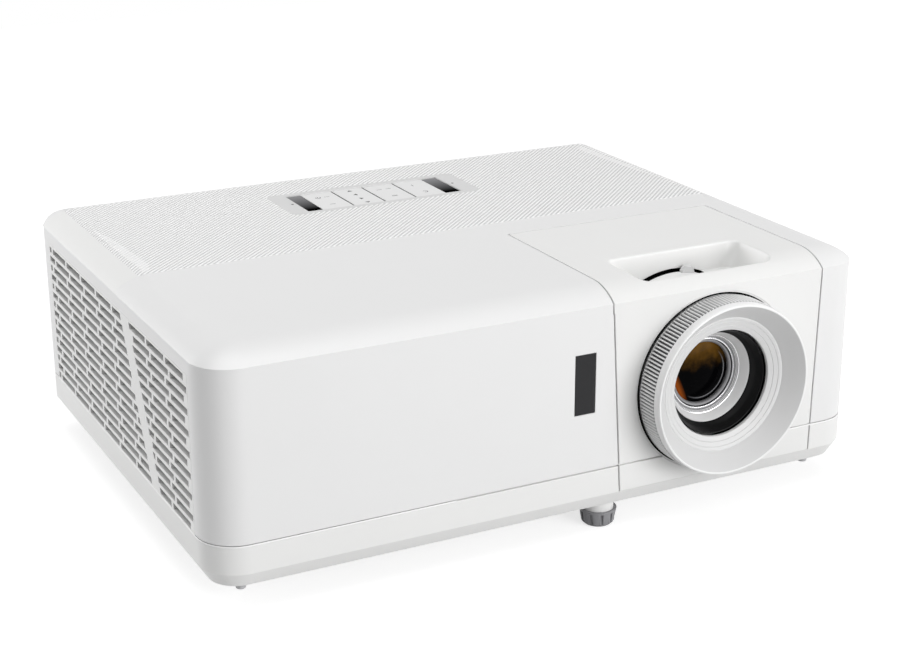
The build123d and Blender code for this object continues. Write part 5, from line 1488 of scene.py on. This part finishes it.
@dataclass
class Feet:
    """The screw feet and the front bumpers."""

    feet: tuple[str, ...] = ("front_foot", "left_rear_foot", "right_rear_foot")
    stem_edge: float = 0.3
    cap_edge: float = 0.35
    bumper_edge: float = 0.4

    def build(self) -> None:
        """Softens each stem, cap and bumper."""
        for foot in self.feet:
            softened(f"{foot}_stem", self.stem_edge)
            softened(f"{foot}_cap", self.cap_edge, segments=3)
        softened("corner_bumpers", self.bumper_edge, segments=3, finish=PALE_RUBBER)


@dataclass
class RearBay:
    """The connector panel at the back; depths are counted from a socket's rear face, inwards below zero."""

    edge_mm: dict[str, float] = field(
        default_factory=lambda: {
            "rear_panel": 0.3,
            "mains_inlet": 0.25,
            "network_socket": 0.15,
            "media_sockets": 0.15,
            "data_socket": 0.15,
            "video_sockets": 0.25,
            "audio_sockets": 0.25,
        }
    )
    widths: dict[str, float] = field(
        default_factory=lambda: {"video_sockets": 31.0, "media_sockets": 16.0, "audio_sockets": 10.0}
    )
    hollow: float = 10.0
    mouth: float = -1.4
    corner: float = 0.2
    fine_edge: float = 0.05
    hair_edge: float = 0.02
    soft_edge: float = 0.1
    back_low: float = 0.05
    back_high: float = 0.6
    socket_wall: float = 1.55
    insert: Profile = ((-8.2, -3.2), (8.2, -3.2), (7.1, 3.2), (-7.1, 3.2))
    insert_corner: float = 0.6
    insert_span: tuple[float, float] = (-0.5, 0.12)
    pin_pitch: float = 2.3
    pin_row: float = 1.8
    pin_radius: float = 0.5
    pin_sides: int = 12
    pin_rise: float = 0.15
    post_reach: float = 12.5
    post_radius: float = 2.8
    post_low: float = -5.3
    post_edge: float = 0.3
    bore_radius: float = 1.4
    bore_sides: int = 16
    bore_span: tuple[float, float] = (-2.0, -1.35)
    network_half: tuple[float, float] = (6.4, 5.4)
    ledge: tuple[float, float, float, float] = (-5.6, 2.6, 5.6, 5.4)
    ledge_corner: float = 0.3
    ledge_front: float = -2.5
    contacts: int = 8
    contact_pitch: float = 1.1
    contact_half: float = 0.25
    contact_z: tuple[float, float] = (1.9, 2.7)
    contact_front: float = -3.0
    jack: Profile = (
        (1.85, -2.5), (1.85, 0.4), (3.4, 0.4), (3.6, -0.2), (3.4, -0.5), (2.3, -0.6), (2.3, -2.5),
    )
    jack_cut: float = 0.15
    jack_steps: int = 48
    inlet_pitch: float = 7.0
    inlet_step: float = 2.0
    blade_half: tuple[float, float] = (1.05, 2.05)
    blade_edge: float = 0.15

    def build(self) -> None:
        """Softens the panel and its sockets and fits what shows inside them."""
        for node, width in self.edge_mm.items():
            softened(node, width)
        self.build_video()
        self.build_tongues()
        self.build_network()
        self.build_jacks()
        self.build_inlet()

    def middles(self, node: str) -> list[np.ndarray]:
        """The middles of a node's sockets on its rear face: one at each end of its box.

        Args:
            node: the node that holds one socket or two.

        Returns:
            A point for each socket.
        """
        low, high = box_mm(node)
        half = self.widths.get(node, high[0] - low[0]) / 2
        ends = np.unique(np.round([low[0] + half, high[0] - half], 3))
        return [np.array([x, high[1], (low[2] + high[2]) / 2]) for x in ends]

    def fit(self, name: str, node: str, parts: Sequence[Grid], finish: Finish) -> None:
        """Puts the same small parts on each of a node's sockets.

        Args:
            name: the piece's name.
            node: the node that holds the sockets.
            parts: points and quads about a socket's middle, looking along Z.
            finish: their surface.
        """
        places = self.middles(node)
        placed = [(Face.BACK.place(points, at), quads) for at in places for points, quads in parts]
        settle(make_piece(name, *join_grids(placed)), finish, "case")

    def back(self, half: Sequence[float], corner: float) -> Grid:
        """The dark back of a socket.

        Args:
            half: its half width and half height.
            corner: how far its corners are rounded.

        Returns:
            Points and quads.
        """
        outline = box_outline(-half[0], -half[1], half[0], half[1], corner)
        return slab(outline, -self.hollow - self.back_low, -self.hollow + self.back_high, self.fine_edge)

    def build_video(self) -> None:
        """Builds the insert in each D-shaped shell, its pin holes as black discs of painted shade, and the two
        hexagonal posts beside it with bores of painted shade.
        """
        node = "video_sockets"
        insert = slab(rounded(self.insert, self.insert_corner), *self.insert_span, self.fine_edge)
        self.fit("video_inserts", node, [insert], BLUE_NYLON)
        holes = []
        for row in (-1, 0, 1):
            # The outer rows lie half a pitch to the side of the middle one.
            shift = row % 2 * self.pin_pitch / 2 - self.pin_pitch / 4
            for column in range(-2, 3):
                at = (column * self.pin_pitch + shift, row * self.pin_row)
                hole = polygon(self.pin_sides, self.pin_radius) + at
                holes.append(slab(hole, 0.0, self.pin_rise, self.hair_edge))
        # The pin holes are flat black discs: painted shade.
        self.fit("video_pin_holes", node, holes, SHADE_BLACK)
        places = [(side * self.post_reach, 0.0) for side in (-1, 1)]
        hexagon, bore = polygon(6, self.post_radius), polygon(self.bore_sides, self.bore_radius)
        posts = [slab(hexagon + at, self.post_low, self.mouth, self.post_edge) for at in places]
        self.fit("video_posts", node, posts, STEEL)
        bores = [slab(bore + at, *self.bore_span, self.hair_edge) for at in places]
        # The post bores are flat black discs: painted shade.
        self.fit("video_post_bores", node, bores, SHADE_BLACK)

    def build_tongues(self) -> None:
        """Builds the dark back and the contact tongue of the media and data sockets."""
        # Each tongue's half width, half height and lift over the socket's middle.
        for node, reach, rise, lift in (("media_sockets", 4.9, 0.6, 0.3), ("data_socket", 5.2, 0.9, 0.9)):
            low, high = box_mm(node)
            width = self.widths.get(node, high[0] - low[0])
            half = np.array([width, high[2] - low[2]]) / 2 - self.socket_wall
            outline = box_outline(-reach, lift - rise, reach, lift + rise, self.corner)
            tongue = slab(outline, -self.hollow, self.mouth, self.soft_edge)
            self.fit(f"{node}_tongue", node, [self.back(half, self.corner), tongue], NYLON)

    def build_network(self) -> None:
        """Builds the network socket's dark back and its row of gilt contacts."""
        back = self.back(self.network_half, self.ledge_corner)
        outline = box_outline(*self.ledge, self.ledge_corner)
        ledge = slab(outline, -self.hollow, self.ledge_front, self.soft_edge)
        self.fit("network_insert", "network_socket", [back, ledge], NYLON)
        low, high = self.contact_z
        wires = []
        for x in (np.arange(self.contacts) - (self.contacts - 1) / 2) * self.contact_pitch:
            outline = box_outline(x - self.contact_half, low, x + self.contact_half, high, self.fine_edge)
            wires.append(slab(outline, -self.hollow, self.contact_front, self.fine_edge))
        self.fit("network_contacts", "network_socket", wires, BRASS)

    def build_jacks(self) -> None:
        """Builds the bright collar of each audio socket."""
        ring = collar(rounded(self.jack, self.jack_cut), self.jack_steps)
        self.fit("audio_collars", "audio_sockets", [ring], NICKEL)

    def build_inlet(self) -> None:
        """Builds the plated skins of the inlet's three blades."""
        wide, tall = self.blade_half
        blades = []
        for across in (-1, 0, 1):
            x, y = across * self.inlet_pitch, self.inlet_step * (1 - 2 * abs(across))
            outline = box_outline(x - wide, y - tall, x + wide, y + tall, self.corner)
            blades.append(slab(outline, -self.hollow, self.mouth, self.blade_edge))
        self.fit("inlet_blades", "mains_inlet", blades, NICKEL)


@dataclass(frozen=True)
class Softbox:
    """A square lamp that looks at the object."""

    name: str
    place_mm: tuple[float, float, float]
    size_mm: float
    power: float
    aim_mm: tuple[float, float, float] = (0.0, 0.0, 70.0)

    def hang(self) -> None:
        """Hangs the lamp in its place."""
        lamp = bpy.data.lights.new(self.name, "AREA")
        lamp.shape = "SQUARE"
        lamp.size = self.size_mm * MM
        lamp.energy = self.power
        holder = bpy.data.objects.new(self.name, lamp)
        bpy.context.scene.collection.objects.link(holder)
        place = Vector(self.place_mm) * MM
        holder.location = place
        holder.rotation_euler = (Vector(self.aim_mm) * MM - place).to_track_quat("-Z", "Y").to_euler()


@dataclass
class Studio:
    """A pale floor, soft lamps, and the camera at the photograph's view."""

    lamps: tuple[Softbox, ...] = (
        Softbox("top_softbox", (-250, -150, 2070), 1500, 17.0),
        Softbox("front_softbox", (900, -1980, 420), 1500, 38.3),
        Softbox("side_softbox", (-1200, 1200, 550), 1000, 12.5),
    )
    width_px: int = 900
    focal_px: float = 1823.61
    sensor_mm: float = 36.0
    azimuth_deg: float = -26.864
    elevation_deg: float = 19.321
    roll_deg: float = -0.171
    distance_mm: float = 1035.235
    target_mm: tuple[float, float, float] = (8.696, 10.0, 75.352)
    clip_m: float = 50.0
    world_strength: float = 0.3
    floor_mm: float = 3000.0
    floor_colour: str = "#C8C8C8"
    floor_roughness: float = 0.5
    floor_lift: float = 0.7

    def build(self) -> None:
        """Builds the world, the floor, the lamps and the camera, and sets the view."""
        bpy.context.scene.view_settings.view_transform = "Standard"
        self.build_world()
        self.build_floor()
        for lamp in self.lamps:
            lamp.hang()
        self.build_camera()

    def camera_share(self, tree: bpy.types.NodeTree) -> bpy.types.NodeSocket:
        """One for rays that show the surroundings: from the camera, or by gloss or glass.

        Args:
            tree: the node tree that gets the nodes.

        Returns:
            The socket that holds the share.
        """
        rays = add_node(tree, "ShaderNodeLightPath").outputs
        seen = {0: rays["Is Glossy Ray"], 1: rays["Is Transmission Ray"]}
        gloss = add_node(tree, "ShaderNodeMath", seen, operation="MAXIMUM")
        seen = {0: rays["Is Camera Ray"], 1: gloss.outputs[0]}
        return add_node(tree, "ShaderNodeMath", seen, operation="MAXIMUM").outputs[0]

    def build_world(self) -> None:
        """Makes the world a plain white that lights less than it shows."""
        world = bpy.data.worlds.new("studio_white")
        bpy.context.scene.world = world
        world.use_nodes = True
        tree = world.node_tree
        tree.nodes.clear()
        light, shown = (
            add_node(tree, "ShaderNodeBackground", {"Color": linear(WHITE), "Strength": strength}).outputs[0]
            for strength in (self.world_strength, 1.0)
        )
        mix = add_node(tree, "ShaderNodeMixShader", {0: self.camera_share(tree), 1: light, 2: shown})
        add_node(tree, "ShaderNodeOutputWorld", {"Surface": mix.outputs[0]})

    def build_floor(self) -> None:
        """Lays a pale floor that keeps the object's shadow and is lifted to white where it is seen."""
        half = self.floor_mm / 2
        points = np.array([(x, y, 0.0) for x in (-half, half) for y in (-half, half)])
        floor = make_piece("studio_floor", points, grid_quads(2, 2))
        material = bpy.data.materials.new("white_paper_floor")
        material.use_nodes = True
        tree = material.node_tree
        tree.nodes.clear()
        surface = {"Color": linear(self.floor_colour), "Roughness": self.floor_roughness}
        paper = add_node(tree, "ShaderNodeBsdfDiffuse", surface)
        share = {0: self.camera_share(tree), 1: self.floor_lift}
        lifted = add_node(tree, "ShaderNodeMath", share, operation="MULTIPLY")
        glow = {"Color": linear(WHITE), "Strength": lifted.outputs[0]}
        lift = add_node(tree, "ShaderNodeEmission", glow)
        both = add_node(tree, "ShaderNodeAddShader", {0: paper.outputs[0], 1: lift.outputs[0]})
        add_node(tree, "ShaderNodeOutputMaterial", {"Surface": both.outputs[0]})
        floor.data.materials.append(material)

    def build_camera(self) -> None:
        """Sets the camera: back along its azimuth and elevation from the target, then rolled."""
        turn, rise, roll = (math.radians(v) for v in (self.azimuth_deg, self.elevation_deg, self.roll_deg))
        back = Vector((math.sin(turn) * math.cos(rise), -math.cos(turn) * math.cos(rise), math.sin(rise)))
        right = Vector((0, 0, 1)).cross(back).normalized()
        up = back.cross(right)
        x_axis = right * math.cos(roll) + up * math.sin(roll)
        y_axis = up * math.cos(roll) - right * math.sin(roll)
        place = (Vector(self.target_mm) + back * self.distance_mm) * MM
        lens = bpy.data.cameras.new("photo_camera")
        lens.sensor_fit = "HORIZONTAL"
        lens.sensor_width = self.sensor_mm
        lens.lens = self.focal_px / self.width_px * self.sensor_mm
        lens.clip_end = self.clip_m
        camera = bpy.data.objects.new("photo_camera", lens)
        bpy.context.scene.collection.objects.link(camera)
        turned = Matrix((x_axis, y_axis, back)).transposed().to_4x4()
        camera.matrix_world = Matrix.Translation(place) @ turned
        bpy.context.scene.camera = camera


def dress_frame() -> None:
    """Gives every node of the frame the finish of its material slot."""
    for name, node in frame["nodes"].items():
        finish = SLOT_FINISHES[NODE_SLOTS[name]]
        for holder in node.material_slots:
            holder.material = finish.material()


def main() -> None:
    """Builds the sub-assemblies in order, then the studio."""
    logging.basicConfig(level=logging.INFO, format="%(name)s: %(message)s")
    dress_frame()
    for assembly in (Case(), LensUnit(), KEYPAD, Feet(), RearBay(), Studio()):
        assembly.build()
        LOG.info("%s done", type(assembly).__name__)


if __name__ == "__main__":
    main()
